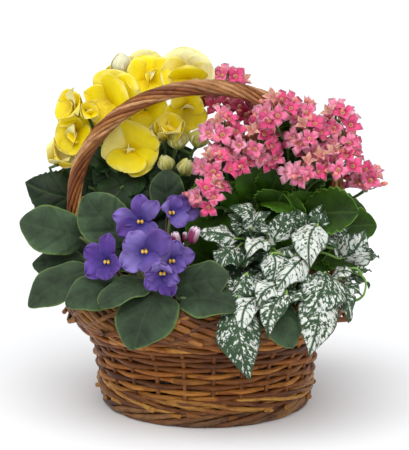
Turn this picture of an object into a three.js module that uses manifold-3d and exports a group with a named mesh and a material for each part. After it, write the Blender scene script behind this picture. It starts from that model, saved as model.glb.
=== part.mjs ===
// A planted flower basket: a round willow basket with a twisted bow handle, a waterproof liner and
// four pot plants in it. Begonia back left, kalanchoe back right, African violet front left and
// polka-dot plant front right. Millimetres, +Z up, +X to the right and -Y towards the viewer.
// The origin is the middle of the flat underside of the basket.
import * as THREE from 'three';
import { mergeVertices } from 'three/addons/utils/BufferGeometryUtils.js';
import Module from 'manifold-3d';

const wasm = await Module();
wasm.setup();

// ---------------------------------------------------------------- driving dimensions
const GAP = 0.3;                 // clearance between pieces that touch
const STAKES = 20;               // upright rods of the wall
const FOOT_RADIUS = 106;         // outside of the wall at the foot
const WAIST_HEIGHT = 59;         // where the wall starts to flare
const WAIST_SPREAD = 10;         // how far the wall leans out by the waist
const FLARE = 22;                // extra lean of the flare
const FLARE_HEIGHT = 37;
const WALL_THICKNESS = 9;
const WALL_BOTTOM = 17.8;
const WALL_TOP = 88;
const WEAVE_ROWS = 5;            // courses of weaving, drawn thicker than life
const WEAVE_DEPTH = 3;           // how far a rod bows out round a stake
const WEAVE_VALLEY = 0.1;        // share of that depth left between two courses
const WEAVE_BEHIND = 0.35;       // share of that depth where a rod passes behind a stake
const BASE_RADIUS = 96.8;
const BASE_THICKNESS = 10;
const LINER_THICKNESS = 1.2;

// The plaited borders: a middle radius and height, and how far the section reaches from there.
const RIM = { radius: 130.4, height: 104.6, halfWidth: 11, halfHeight: 16.2, ridge: 1.2, steps: 32 };
const FOOT = { radius: 102, height: 9.1, halfWidth: 4.9, halfHeight: 8.4, ridge: 0.5, steps: 28 };
const BORDER_SIDES = 6;
const BORDER_BULGE = 0.6;        // below 1 the section is fuller than an ellipse

const HANDLE_SPREAD = 131;       // centre of each leg from the middle
const HANDLE_FOOT = 97;          // lower end of a leg, in its socket in the rim
const HANDLE_SPRING = 203;       // where the legs turn into the arch
const HANDLE_RISE = 112;         // rise of the arch above the legs
const HANDLE_RADIUS = 6.9;
const HANDLE_STRANDS = 6;
const HANDLE_PITCH = 129;        // length of one full twist of the rods
const HANDLE_VALLEY = 0.84;      // share of the radius between two rods
const HANDLE_SWELL = 0.12;       // how much thicker the handle is at the top of the arch
const HANDLE_STEPS = 27;
const SOCKET_RADIUS = 7.3;
const SOCKET_DEPTH = 40;         // deep enough to come out of the top of the rim

const POT_OFFSET = 44;           // pot centres from the middle, in x and in y
const POT_FLOOR = 11.8;
const POT_HEIGHT = 75;
const SOIL_HEIGHT = 69;
const TRIFLE = 0.15;             // steps finer than this are smoothed away
const BLADE = 0.8;               // thickness of leaves
const PETAL = 1.1;               // thickness of petals, front to back
const STEM_STEPS = 4;            // straight runs in a stem
const STEM_TAPER = 0.65;         // radius of a branched plant's stem at its tip to that at its foot
const LEAF_ROOTS = [0.45, 0.78]; // lowest and highest root of its leaves, as shares of a stem
const FLOWER_ROOTS = [0.8, 0.99]; // and of its flower stalks
const TEETH = 0.1;               // depth of the teeth or scallops of a leaf to its half width
const ROOT_TAPER = 0.4;          // how thin a stalk is where its root sits inside the stem
const STALK_BOW = 5;             // how far a leaf stalk bows upwards
const STALK_END = 7;             // last straight length of a flower stalk
const STALK_NECK = 0.8;          // how much thinner a flower stalk is at that end
const SHOULDER = 0.27;           // how far round its own place a petal keeps its full length
const VALLEY_RISE = 0.3;         // share of its petals' rise that the valley between them has

// Rings of a bud and of a knot: share of its length, share of its radius.
const BUD_SHAPE = [[0.35, 1], [0.8, 0.7], [1, 0.15]];
const BUD_STALK = 0.22;          // radius of a bud's stalk to that of the bud
const KNOT_SHAPE = [[0, 0.8], [0.5, 1.2], [1, 0.6]];

// ---------------------------------------------------------------- solids
const v = (x, y, z) => new THREE.Vector3(x, y, z);
const point = (list) => new THREE.Vector3(...list);
const radians = THREE.MathUtils.degToRad;

// A unit vector: azimuth 0 looks at the viewer (-Y) and turns towards +X, elevation lifts it.
function facing([azimuth, elevation]) {
  const a = radians(azimuth);
  const e = radians(elevation);
  return v(Math.sin(a) * Math.cos(e), -Math.cos(a) * Math.cos(e), Math.sin(e));
}

// The exact solid of a closed geometry, turned the right way out.
function toSolid(source) {
  const geometry = source.clone();
  geometry.deleteAttribute('normal');
  geometry.deleteAttribute('uv');
  const merged = mergeVertices(geometry, 1e-4);
  const place = merged.attributes.position.array;
  const index = wholeFaces(merged.index.array);
  let volume = 0;
  for (let i = 0; i < index.length; i += 3) {
    const a = v().fromArray(place, 3 * index[i]);
    const b = v().fromArray(place, 3 * index[i + 1]);
    const c = v().fromArray(place, 3 * index[i + 2]);
    volume += a.dot(b.cross(c));
  }
  if (volume < 0) {
    index.reverse();
  }
  return new wasm.Manifold(new wasm.Mesh({ numProp: 3, vertProperties: place, triVerts: index }));
}

// The faces that didn't collapse to a line when shared corners were merged.
function wholeFaces(index) {
  const kept = [];
  for (let i = 0; i < index.length; i += 3) {
    const [a, b, c] = index.slice(i, i + 3);
    if (a !== b && b !== c && a !== c) {
      kept.push(a, b, c);
    }
  }
  return Uint32Array.from(kept);
}

function toGeometry(solid) {
  const mesh = solid.getMesh();
  const geometry = new THREE.BufferGeometry();
  geometry.setAttribute('position', new THREE.BufferAttribute(mesh.vertProperties, 3));
  geometry.setIndex(new THREE.BufferAttribute(mesh.triVerts, 1));
  return geometry;
}

function meshed(points, faces) {
  const geometry = new THREE.BufferGeometry();
  const places = points.flatMap((p) => p.toArray());
  geometry.setAttribute('position', new THREE.Float32BufferAttribute(places, 3));
  geometry.setIndex(faces.flat());
  return geometry;
}

// A skin over rings of equal count: joined into a loop, or closed by a flat cap at each end.
function skin(rings, loop) {
  const sides = rings[0].length;
  const faces = [];
  const last = loop ? rings.length : rings.length - 1;
  for (let r = 0; r < last; r += 1) {
    const here = r * sides;
    const next = ((r + 1) % rings.length) * sides;
    for (let s = 0; s < sides; s += 1) {
      const t = (s + 1) % sides;
      faces.push([here + s, here + t, next + t], [here + s, next + t, next + s]);
    }
  }
  if (!loop) {
    const end = (rings.length - 1) * sides;
    for (let s = 1; s < sides - 1; s += 1) {
      faces.push([0, s + 1, s], [end, end + s, end + s + 1]);
    }
  }
  return meshed(rings.flat(), faces);
}

function fuse(geometries) {
  return wasm.Manifold.union(geometries.map(toSolid));
}

// The main body of a solid, without loose scraps and sealed hollows.
function mainBody(solid) {
  const bodies = solid.decompose();
  return bodies.reduce((most, body) => (body.volume() > most.volume() ? body : most));
}

// ---------------------------------------------------------------- stems, leaves and petals
// The smooth line through a few points.
function lineThrough(points) {
  return new THREE.CatmullRomCurve3(points.map(point), false, 'centripetal');
}

// A point on a stem made of straight runs between its rings, at a share of its length.
function onStem(points, share, steps = STEM_STEPS) {
  const line = lineThrough(points);
  const run = Math.min(Math.floor(share * steps), steps - 1);
  return line.getPointAt(run / steps).lerp(line.getPointAt((run + 1) / steps), share * steps - run);
}

// A stem or stalk through a few points. Its radii are spread evenly from its foot to its tip.
function stem(points, radii, sides, swell, steps = STEM_STEPS) {
  const curve = lineThrough(points);
  const frames = curve.computeFrenetFrames(steps, false);
  const rings = [];
  for (let i = 0; i <= steps; i += 1) {
    const centre = curve.getPointAt(i / steps);
    const reach = (i / steps) * (radii.length - 1);
    const from = Math.min(Math.floor(reach), radii.length - 2);
    const radius = THREE.MathUtils.lerp(radii[from], radii[from + 1], reach - from) + swell;
    const ring = [];
    for (let s = 0; s < sides; s += 1) {
      const angle = (2 * Math.PI * s) / sides;
      ring.push(centre.clone()
        .addScaledVector(frames.normals[i], radius * Math.cos(angle))
        .addScaledVector(frames.binormals[i], radius * Math.sin(angle)));
    }
    rings.push(ring);
  }
  return skin(rings, false);
}

// The midrib of a leaf: a low arch from base to tip, with the way its face looks there.
function leafFrame({ base, tip, face, arch }) {
  const start = point(base);
  const along = point(tip).sub(start);
  const length = along.length();
  along.normalize();
  const side = along.clone().cross(facing(face)).normalize();
  const normal = side.clone().cross(along);
  const centre = (t) => start.clone()
    .addScaledVector(along, length * t)
    .addScaledVector(normal, 4 * arch * t * (1 - t));
  return { along, side, normal, centre };
}

// A leaf with its stalk in one skin. The outline gives [share along, share of the half width] rows
// and ends in the tip. With a notch, the edge dips between rows, which makes teeth or scallops. Both
// faces are split into triangles alike. The stalk runs from the leaf's base to its root on the stem.
function leaf(spec, outline, { notch = 0, stalk, root }, swell) {
  const { side, normal, centre } = leafFrame(spec);
  const half = spec.width / 2;
  const lift = BLADE / 2 + swell;
  const edge = (t, share, sign) => centre(t).addScaledVector(side, sign * (share * half + swell));
  const front = [];
  const back = [];
  const add = (at, rise) => {
    front.push(at.clone().addScaledVector(normal, rise));
    back.push(at.clone().addScaledVector(normal, -rise));
    return front.length - 1;
  };
  const middle = outline.map(([t]) => add(centre(t), lift));
  const sheet = [];
  const borders = [];
  for (const sign of [-1, 1]) {
    let last = add(edge(...outline[0], sign), 0);
    const turn = (a, b, c) => sheet.push(sign > 0 ? [a, b, c] : [a, c, b]);
    for (let row = 1; row < outline.length; row += 1) {
      const [t, share] = outline[row];
      const [before, shareBefore] = outline[row - 1];
      if (notch > 0) {
        const dip = add(edge((t + before) / 2, (share + shareBefore) / 2 - notch, sign), lift);
        turn(middle[row - 1], last, dip);
        borders.push(sign > 0 ? [last, dip] : [dip, last]);
        last = dip;
      }
      const here = share > 0 ? add(edge(t, share, sign), lift) : middle[row];
      turn(middle[row - 1], last, here);
      if (share > 0) {
        turn(middle[row - 1], here, middle[row]);
      }
      borders.push(sign > 0 ? [last, here] : [here, last]);
      last = here;
    }
  }
  const count = front.length;
  const faces = sheet.flatMap(([a, b, c]) => [[a, b, c], [a + count, c + count, b + count]]);
  for (const [a, b] of borders) {
    faces.push([a, b + count, b], [a, a + count, b + count]);
  }
  const neck = [edge(...outline[0], -1), front[0], edge(...outline[0], 1), back[0]];
  const points = [...front, ...back];
  const rings = stalkRings(spec, stalk + swell, root, side);
  let first = points.length;
  points.push(...neck);
  for (const ring of rings) {
    for (let s = 0; s < 4; s += 1) {
      const t = (s + 1) % 4;
      faces.push([first + s, first + 4 + t, first + t], [first + s, first + 4 + s, first + 4 + t]);
    }
    points.push(...ring);
    first += 4;
  }
  faces.push([first, first + 2, first + 1], [first, first + 3, first + 2]);
  return meshed(points, faces);
}

// Four-cornered rings down the stalk of a leaf, turned no more than the stalk bends.
function stalkRings({ base }, radius, root, side) {
  const middle = point(base).lerp(point(root), 0.5);
  middle.z += STALK_BOW;
  const curve = new THREE.QuadraticBezierCurve3(point(base), middle, point(root));
  const across = side.clone();
  return [[0.4, radius], [1, radius * ROOT_TAPER]].map(([t, reach]) => {
    const ahead = curve.getTangent(t);
    across.addScaledVector(ahead, -across.dot(ahead)).normalize();
    const out = across.clone().cross(ahead).negate();
    const at = curve.getPoint(t);
    return [[-1, 0], [0, 1], [1, 0], [0, -1]].map(([x, y]) => at.clone()
      .addScaledVector(across, reach * x)
      .addScaledVector(out, reach * y));
  });
}

// One layer of petals as a sheet round a centre, hollow towards the front and pointed behind. Each
// petal has an angle (0 right, 90 up, seen from the front), a length, and a rise of its end
// towards the viewer. Between petals the edge falls back to a valley.
function petalLayer({ centre, face, spin = 0 }, petals, form, swell) {
  const { valley, depth, mid, midRise, back } = form;
  const n = facing(face);
  const up = v(0, 0, 1).addScaledVector(n, -n.z).normalize();
  const right = up.clone().cross(n);
  const outline = [];
  petals.forEach((petal, i) => {
    const next = petals[(i + 1) % petals.length];
    const step = (next.angle - petal.angle + 360) % 360;
    const shoulder = step * SHOULDER;
    const dip = valley * Math.min(petal.length, next.length);
    outline.push({ angle: petal.angle + shoulder, reach: petal.length, rise: petal.rise });
    const low = VALLEY_RISE * (petal.rise + next.rise);
    outline.push({ angle: petal.angle + step / 2, reach: dip, rise: low });
    outline.push({ angle: petal.angle + step - shoulder, reach: next.length, rise: next.rise });
  });
  const at = (angle, reach, height) => point(centre)
    .addScaledVector(right, reach * Math.cos(radians(angle + spin)))
    .addScaledVector(up, reach * Math.sin(radians(angle + spin)))
    .addScaledVector(n, height);
  const front = [at(0, 0, depth + swell)];
  const rear = [at(0, 0, depth - back - swell)];
  for (const share of [mid, 1]) {
    for (const { angle, reach, rise } of outline) {
      const height = depth + (share === 1 ? rise : rise * midRise);
      front.push(at(angle, reach * share + swell, height + swell));
      rear.push(at(angle, reach * share + swell, height - PETAL - swell));
    }
  }
  const count = outline.length;
  const all = front.length;
  const faces = [];
  for (let i = 0; i < count; i += 1) {
    const j = (i + 1) % count;
    const inner = [1 + i, 1 + j];
    const outer = [1 + count + i, 1 + count + j];
    for (const [a, b, c] of [[0, ...inner], [inner[0], ...outer], [inner[0], outer[1], inner[1]]]) {
      faces.push([a, b, c], [a + all, c + all, b + all]);
    }
    faces.push([outer[0], outer[0] + all, outer[1] + all], [outer[0], outer[1] + all, outer[1]]);
  }
  return meshed([...front, ...rear], faces);
}

// A round body on a straight line: rings of [share along the line, radius].
function spindle(from, to, shape, sides, swell) {
  const frames = new THREE.LineCurve3(from, to).computeFrenetFrames(1, false);
  const rings = shape.map(([t, radius]) => {
    const centre = from.clone().lerp(to, t);
    return Array.from({ length: sides }, (_, s) => {
      const angle = (2 * Math.PI * s) / sides;
      return centre.clone()
        .addScaledVector(frames.normals[0], (radius + swell) * Math.cos(angle))
        .addScaledVector(frames.binormals[0], (radius + swell) * Math.sin(angle));
    });
  });
  return skin(rings, false);
}

// A bud on its own stalk.
function bud(fork, base, tip, radius, sides, swell) {
  const run = point(fork).distanceTo(point(base));
  const length = point(base).distanceTo(point(tip));
  const thin = radius * BUD_STALK;
  const stalk = [[0, thin * ROOT_TAPER], [run / (run + length), thin]];
  const body = BUD_SHAPE.map(([share, width]) => [(run + share * length) / (run + length), radius * width]);
  return spindle(point(fork), point(tip), [...stalk, ...body], sides, swell);
}

// The small swelling where flower stalks fork.
function knot(fork, radius, swell) {
  const from = point(fork).add(v(0, 0, -radius - swell));
  const to = point(fork).add(v(0, 0, radius + swell));
  return spindle(from, to, KNOT_SHAPE.map(([share, width]) => [share, radius * width]), 4, swell);
}

// ---------------------------------------------------------------- the basket
// Outside radius of the wall at a height: a slight lean, then a flare under the mouth.
function wallRadius(z) {
  const lean = FOOT_RADIUS + (WAIST_SPREAD * z) / WAIST_HEIGHT;
  const flare = Math.max(0, z - WAIST_HEIGHT) / FLARE_HEIGHT;
  return lean + FLARE * flare ** 1.5;
}

// The wall: rods pass in front of one stake and behind the next, turn about in each course.
function basketWall() {
  const steps = STAKES * 2;
  const rows = WEAVE_ROWS * 2;
  const rings = [];
  for (let i = 0; i < steps; i += 1) {
    const angle = (2 * Math.PI * i) / steps;
    const at = (radius, z) => v(radius * Math.cos(angle), radius * Math.sin(angle), z);
    const section = [];
    for (let r = 0; r <= rows; r += 1) {
      const z = THREE.MathUtils.lerp(WALL_BOTTOM, WALL_TOP, r / rows);
      const course = Math.floor(r / 2);
      const crown = r % 2 === 1 ? 1 : WEAVE_VALLEY;
      const front = (i + course) % 2 === 0 ? 1 : WEAVE_BEHIND;
      section.push(at(wallRadius(z) - WEAVE_DEPTH * (1 - crown * front), z));
    }
    for (const z of [WALL_TOP, WAIST_HEIGHT, WALL_BOTTOM]) {
      section.push(at(wallRadius(z) - WALL_THICKNESS, z));
    }
    rings.push(section);
  }
  return toSolid(skin(rings, true));
}

// A border plaited from thick rods: a ring whose surface is ridged on the slant.
function border({ radius, height, halfWidth, halfHeight, ridge, steps }, swell = 0) {
  const bulge = (share) => Math.sign(share) * Math.abs(share) ** BORDER_BULGE;
  const rings = [];
  for (let i = 0; i < steps; i += 1) {
    const angle = (2 * Math.PI * i) / steps;
    const section = [];
    for (let s = 0; s < BORDER_SIDES; s += 1) {
      const turn = (2 * Math.PI * (s + 0.5)) / BORDER_SIDES;
      const inset = (i + s) % 2 === 0 ? 0 : ridge;
      const reach = radius + bulge(Math.cos(turn)) * (halfWidth - inset + swell);
      const rise = bulge(Math.sin(turn)) * (halfHeight - inset + swell);
      section.push(v(reach * Math.cos(angle), reach * Math.sin(angle), height + rise));
    }
    rings.push(section);
  }
  return skin(rings, true);
}

// The rim border has a blind socket for each leg of the handle.
function rimBorder() {
  let solid = toSolid(border(RIM));
  for (const side of [-1, 1]) {
    const socket = new THREE.CylinderGeometry(SOCKET_RADIUS, SOCKET_RADIUS, SOCKET_DEPTH, 12);
    socket.rotateX(Math.PI / 2);
    socket.translate(side * HANDLE_SPREAD, 0, HANDLE_FOOT - GAP + SOCKET_DEPTH / 2);
    solid = solid.subtract(toSolid(socket));
  }
  return solid;
}

function basketBase() {
  const edge = [[BASE_RADIUS - 3, 0], [BASE_RADIUS, 3], [BASE_RADIUS, BASE_THICKNESS]];
  return turned([[0, 0], ...edge, [0, BASE_THICKNESS]], 20);
}

// A turned shape about the basket's upright axis, or about another upright axis.
function turned(profile, segments, x = 0, y = 0, z = 0) {
  const outline = profile.map(([radius, height]) => new THREE.Vector2(radius, height));
  const lathe = new THREE.LatheGeometry(outline, segments);
  lathe.rotateX(Math.PI / 2);
  lathe.translate(x, y, z);
  return toSolid(lathe);
}

// The liner stands on the base and follows the inside of the wall up to just under the rim.
function liner() {
  const under = BASE_THICKNESS + GAP;
  const floor = under + LINER_THICKNESS;
  const outside = [[96.2, under], [96.6, 17.8], [99, 24.3], [106, WAIST_HEIGHT], [122.5, 86]];
  const inside = outside.slice(1).reverse().map(([radius, z]) => [radius - LINER_THICKNESS, z]);
  return turned([[0, under], ...outside, ...inside, [95, floor], [0, floor]], 16);
}

// The centre line of the handle: up one leg, over the arch and down the other leg.
function handleLine(share) {
  const leg = HANDLE_SPRING - HANDLE_FOOT;
  const arch = 0.5 * Math.PI * (HANDLE_SPREAD + HANDLE_RISE);
  const run = share * (2 * leg + arch);
  if (run < leg) {
    return v(-HANDLE_SPREAD, 0, HANDLE_FOOT + run);
  }
  if (run > leg + arch) {
    return v(HANDLE_SPREAD, 0, HANDLE_SPRING - (run - leg - arch));
  }
  const turn = Math.PI * (1 - (run - leg) / arch);
  return v(HANDLE_SPREAD * Math.cos(turn), 0, HANDLE_SPRING + HANDLE_RISE * Math.sin(turn));
}

// The handle is one rope of rods: its section has a lobe for each rod and turns along the line.
function handle(swell) {
  const sides = HANDLE_STRANDS * 2;
  const length = 2 * (HANDLE_SPRING - HANDLE_FOOT) + 0.5 * Math.PI * (HANDLE_SPREAD + HANDLE_RISE);
  const across = v(0, 1, 0);
  const rings = [];
  for (let i = 0; i <= HANDLE_STEPS; i += 1) {
    const share = i / HANDLE_STEPS;
    const centre = handleLine(share);
    const before = handleLine(Math.max(0, share - 0.002));
    const ahead = handleLine(Math.min(1, share + 0.002)).sub(before).normalize();
    const out = across.clone().cross(ahead);
    const thicker = 1 + HANDLE_SWELL * Math.sin(Math.PI * share);
    const twist = (2 * Math.PI * share * length) / HANDLE_PITCH;
    const ring = [];
    for (let s = 0; s < sides; s += 1) {
      const angle = twist + (2 * Math.PI * s) / sides;
      const radius = HANDLE_RADIUS * (s % 2 === 0 ? 1 : HANDLE_VALLEY) * thicker + swell;
      ring.push(centre.clone()
        .addScaledVector(out, radius * Math.cos(angle))
        .addScaledVector(across, radius * Math.sin(angle)));
    }
    rings.push(ring);
  }
  return skin(rings, false);
}

// ---------------------------------------------------------------- pots and soil
const POT_PLACES = {
  begonia: [-POT_OFFSET, POT_OFFSET],
  kalanchoe: [POT_OFFSET, POT_OFFSET],
  violet: [-POT_OFFSET, -POT_OFFSET],
  polkadot: [POT_OFFSET, -POT_OFFSET],
};

// A thin nursery pot with a band round its mouth.
function pot([x, y]) {
  const outside = [[31.5, 0], [41.2, 62], [43.5, 62], [43.5, POT_HEIGHT]];
  const inside = [[41.7, POT_HEIGHT], [29.8, 1.8]];
  return turned([[0, 0], ...outside, ...inside, [0, 1.8]], 10, x, y, POT_FLOOR);
}

// The soil fills its pot, with a plain hole where each stem stands.
function soil([x, y], stems) {
  const profile = [[0, 2.1], [29.3, 2.1], [39.2, SOIL_HEIGHT - 5], [35, SOIL_HEIGHT - 2], [0, SOIL_HEIGHT]];
  const ball = turned(profile, 10, x, y, POT_FLOOR);
  return stems.reduce((solid, hole) => solid.subtract(hole), ball);
}

// ---------------------------------------------------------------- African violet
const VIOLET_CROWN = { foot: [-48, -54, 62], top: [-48, -56, 98], radius: 5 };
const CROWN_ROOTS = [0.62, 0.96]; // lowest and highest root, as shares of the crown's length
const CROWN_INSET = 0.55;        // how far out in the crown a root sits, to its radius
const VIOLET_LEAF_STALK = 1.9;
const VIOLET_FLOWER_STALK = 1.3;
const VIOLET_OUTLINE = [[0, 0.1], [0.2, 0.76], [0.5, 1], [0.84, 0.68], [1, 0]];
const VIOLET_LEAVES = [
  { base: [-120, -30, 170], tip: [-181, -36, 188], face: [-10, 35], width: 50, arch: 4 },
  { base: [-77, -42, 168], tip: [-118, -36, 213], face: [-5, 25], width: 50, arch: 3 },
  { base: [-118, -36, 144], tip: [-170, -34, 146], face: [-10, 45], width: 38, arch: 4 },
  { base: [-112, -62, 146], tip: [-170, -78, 114], face: [-15, 45], width: 42, arch: 6 },
  { base: [-76, -88, 136], tip: [-130, -114, 124], face: [-15, 50], width: 44, arch: 6 },
  { base: [-46, -98, 134], tip: [-66, -150, 92], face: [-10, 45], width: 58, arch: 13 },
  { base: [-30, -92, 134], tip: [20, -116, 150], face: [10, 40], width: 44, arch: 3 },
  { base: [-22, -106, 128], tip: [30, -138, 127], face: [10, 55], width: 46, arch: 7 },
  { base: [-34, -26, 196], tip: [-40, -20, 236], face: [-5, 20], width: 34, arch: 3 },
  { base: [58, -108, 128], tip: [78, -144, 91], face: [15, 45], width: 37, arch: 9 },
  { base: [-84, -20, 150], tip: [-112, 6, 168], face: [-30, 60], width: 36, arch: 3 },
];
const VIOLET_PETALS = [
  { angle: 58, length: 0.86, rise: 2 },
  { angle: 122, length: 0.86, rise: 2 },
  { angle: 195, length: 1, rise: 4 },
  { angle: 270, length: 1, rise: 5 },
  { angle: 345, length: 1, rise: 4 },
];
const VIOLET_BLOOMS = [
  { centre: [-94, -94, 161], face: [-14, 16], radius: 23, spin: -10 },
  { centre: [-62, -74, 195], face: [-4, 22], radius: 24, spin: 6 },
  { centre: [-34, -58, 200], face: [16, 26], radius: 20, spin: -16 },
  { centre: [-57, -104, 173], face: [0, 12], radius: 24, spin: 20 },
  { centre: [-30, -92, 161], face: [14, 12], radius: 19, spin: -24 },
  { centre: [-41, -122, 152], face: [2, -4], radius: 19, spin: 12 },
];
const VIOLET_BACK = 5;           // how far a bloom's tube reaches behind its face
const KNOT_RADIUS = 1.6;         // swelling where bud stalks fork
const VIOLET_BUDS = {
  fork: [-20, -66, 168],
  buds: [[[-27, -74, 175], [-28, -77, 186], 5], [[-14, -73, 176], [-11, -77, 189], 5.5]],
};

function violetBloom(bloom, swell) {
  const petals = VIOLET_PETALS.map((petal) => ({ ...petal, length: petal.length * bloom.radius }));
  const form = { valley: 0.52, depth: 0, mid: 0.45, midRise: 0.35, back: VIOLET_BACK };
  return fuse([petalLayer(bloom, petals, form, swell)]);
}

// Each bud is [base, tip, radius]; its stalk runs from the fork to the base.
function budSpray({ fork, buds }, swell) {
  const sprigs = buds.map(([base, tip, radius]) => bud(fork, base, tip, radius, 5, swell));
  return fuse([...sprigs, knot(fork, KNOT_RADIUS, swell)]);
}

// A stalk from its root to straight behind the bloom it carries, ending a hair short of it.
function bloomStalk(root, centre, face, back, radius, swell) {
  const look = facing(face);
  const end = point(centre).addScaledVector(look, -back - GAP);
  const before = end.clone().addScaledVector(look, -STALK_END);
  return flowerStalk([root, before.toArray(), end.toArray()], radius, swell);
}

// A stalk from its root up to just under a knot.
function knotStalk(root, route, fork, reach, radius, swell) {
  const end = point(fork).add(v(0, 0, -reach - GAP));
  const before = end.clone().add(v(0, 0, -STALK_END));
  return flowerStalk([root, ...route, before.toArray(), end.toArray()], radius, swell);
}

function flowerStalk(points, radius, swell) {
  return stem(points, [radius * ROOT_TAPER, radius, radius * STALK_NECK], 3, swell, points.length - 1);
}

// Stalks leave the crown all round, each a little above the one before.
function crownRoot(towards, order, count) {
  const { foot, top, radius } = VIOLET_CROWN;
  const root = point(foot).lerp(point(top), rootShare(order, CROWN_ROOTS, count));
  const out = point(towards).sub(root).setZ(0).normalize();
  return root.addScaledVector(out, radius * CROWN_INSET).toArray();
}

function violetPlant(swell) {
  const { foot, top, radius } = VIOLET_CROWN;
  const parts = [stem([foot, top], [radius, radius], 8, swell, 1)];
  const count = VIOLET_LEAVES.length;
  VIOLET_LEAVES.forEach((spec, i) => {
    const root = crownRoot(spec.base, i, count);
    parts.push(leaf(spec, VIOLET_OUTLINE, { stalk: VIOLET_LEAF_STALK, root }, swell));
  });
  VIOLET_BLOOMS.forEach(({ centre, face }, i) => {
    const root = crownRoot(centre, i + 0.5, count);
    parts.push(bloomStalk(root, centre, face, VIOLET_BACK, VIOLET_FLOWER_STALK, swell));
  });
  const { fork } = VIOLET_BUDS;
  const root = crownRoot(fork, count, count);
  parts.push(knotStalk(root, [], fork, KNOT_RADIUS, VIOLET_FLOWER_STALK, swell));
  return fuse(parts);
}

// ---------------------------------------------------------------- begonia
const BEGONIA_COLLAR = { foot: [-48, 44, 62], top: [-48, 44, 96], radius: 7 };
const BEGONIA_STEMS = [
  [[-49, 43, 86], [-66, 34, 130], [-78, 30, 190], [-88, 34, 236]],
  [[-47, 43, 86], [-38, 36, 130], [-38, 34, 190], [-44, 38, 244]],
  [[-48, 46, 86], [-54, 66, 130], [-64, 72, 190], [-72, 74, 236]],
];
const BEGONIA_OUTLINE = [[0, 0.3], [0.22, 0.96], [0.52, 0.98], [0.8, 0.56], [1, 0]];
const BEGONIA_LEAVES = [
  { stem: 0, base: [-122, 26, 200], tip: [-182, 22, 218], face: [-8, 22], width: 52, arch: 5 },
  { stem: 0, base: [-84, 20, 214], tip: [-116, 14, 180], face: [-10, 25], width: 44, arch: 4 },
  { stem: 0, base: [-66, 26, 226], tip: [-98, 22, 200], face: [-5, 35], width: 38, arch: 4 },
  { stem: 1, base: [-46, 22, 212], tip: [-68, 14, 178], face: [0, 25], width: 40, arch: 4 },
  { stem: 1, base: [-30, 24, 234], tip: [-40, 13, 198], face: [5, 22], width: 38, arch: 4 },
  { stem: 1, base: [-22, 34, 232], tip: [8, 24, 208], face: [10, 30], width: 36, arch: 4 },
  { stem: 2, base: [-92, 76, 206], tip: [-156, 96, 200], face: [-120, 35], width: 50, arch: 6 },
  { stem: 2, base: [-66, 96, 196], tip: [-76, 156, 178], face: [-170, 45], width: 54, arch: 8 },
  { stem: 2, base: [-34, 84, 204], tip: [-14, 136, 190], face: [165, 45], width: 46, arch: 6 },
  { stem: 0, base: [-108, 52, 180], tip: [-164, 62, 158], face: [-70, 45], width: 46, arch: 6 },
];
// Blooms: outer petals, then inner ones, both as [angle, share of the radius, rise towards the front].
const BEGONIA_BLOOMS = {
  front: {
    stem: 0, centre: [-73, 24, 250], face: [-10, 5], radius: 29,
    outer: [[0, 1, 3], [90, 0.95, 2], [180, 1, 4], [270, 0.95, 2]],
    inner: [[45, 0.66, 8], [150, 0.6, 9], [270, 0.62, 7]],
  },
  upper_left: {
    stem: 0, centre: [-94, 32, 296], face: [-25, 35], radius: 27,
    outer: [[20, 1, 3], [110, 0.9, 5], [200, 1, 3], [290, 0.9, 2]],
    inner: [[70, 0.6, 9], [190, 0.62, 8], [310, 0.6, 9]],
  },
  top: {
    stem: 0, centre: [-58, 34, 322], face: [14, 22], radius: 22,
    outer: [[0, 1, 3], [90, 0.95, 5], [180, 1, 3], [270, 0.9, 2]],
    inner: [[30, 0.6, 8], [150, 0.6, 8], [270, 0.6, 8]],
  },
  top_right: {
    stem: 1, centre: [-20, 38, 324], face: [10, 12], radius: 25,
    outer: [[10, 1, 2], [100, 0.9, 5], [190, 1, 3], [280, 0.85, 2]],
    inner: [[60, 0.55, 8], [240, 0.55, 7]],
  },
  far_left: {
    stem: 0, centre: [-130, 40, 294], face: [-40, 15], radius: 19,
    outer: [[30, 0.8, 6], [120, 1, 5], [250, 0.85, 4]],
    inner: [],
  },
  left: {
    stem: 0, centre: [-132, 36, 266], face: [-25, 5], radius: 18,
    outer: [[0, 1, 4], [120, 1, 4], [240, 0.9, 3]],
    inner: [[60, 0.55, 8], [240, 0.55, 7]],
  },
  low_left: {
    stem: 0, centre: [-150, 38, 246], face: [-30, -8], radius: 14,
    outer: [[10, 1, 4], [130, 1, 4], [250, 0.9, 3]],
    inner: [],
  },
  middle: {
    stem: 1, centre: [-38, 24, 279], face: [12, 10], radius: 15,
    outer: [[0, 1, 5], [90, 1, 5], [180, 1, 5], [270, 1, 4]],
    inner: [],
  },
  right: {
    stem: 1, centre: [-16, 30, 292], face: [15, 15], radius: 17,
    outer: [[20, 1, 4], [140, 1, 4], [260, 0.9, 4]],
    inner: [],
  },
  behind_top: {
    stem: 2, centre: [-62, 66, 336], face: [-150, 40], radius: 18,
    outer: [[0, 1, 4], [120, 1, 4], [240, 0.9, 3]],
    inner: [],
  },
  back_left: {
    stem: 2, centre: [-96, 88, 268], face: [-150, 20], radius: 27,
    outer: [[0, 1, 3], [90, 0.95, 5], [180, 1, 3], [270, 0.9, 2]],
    inner: [],
  },
  back_middle: {
    stem: 2, centre: [-44, 98, 254], face: [170, 25], radius: 26,
    outer: [[0, 1, 3], [90, 0.95, 5], [180, 1, 3], [270, 0.9, 2]],
    inner: [],
  },
  back_top: {
    stem: 2, centre: [-62, 84, 298], face: [178, 35], radius: 22,
    outer: [[10, 1, 4], [130, 1, 4], [250, 0.9, 3]],
    inner: [[60, 0.55, 8], [240, 0.55, 7]],
  },
};
const BEGONIA_BACK = 6;          // how far the green cup of a bloom reaches behind its centre
const BEGONIA_FLOWER_STALK = 1.5;
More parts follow.
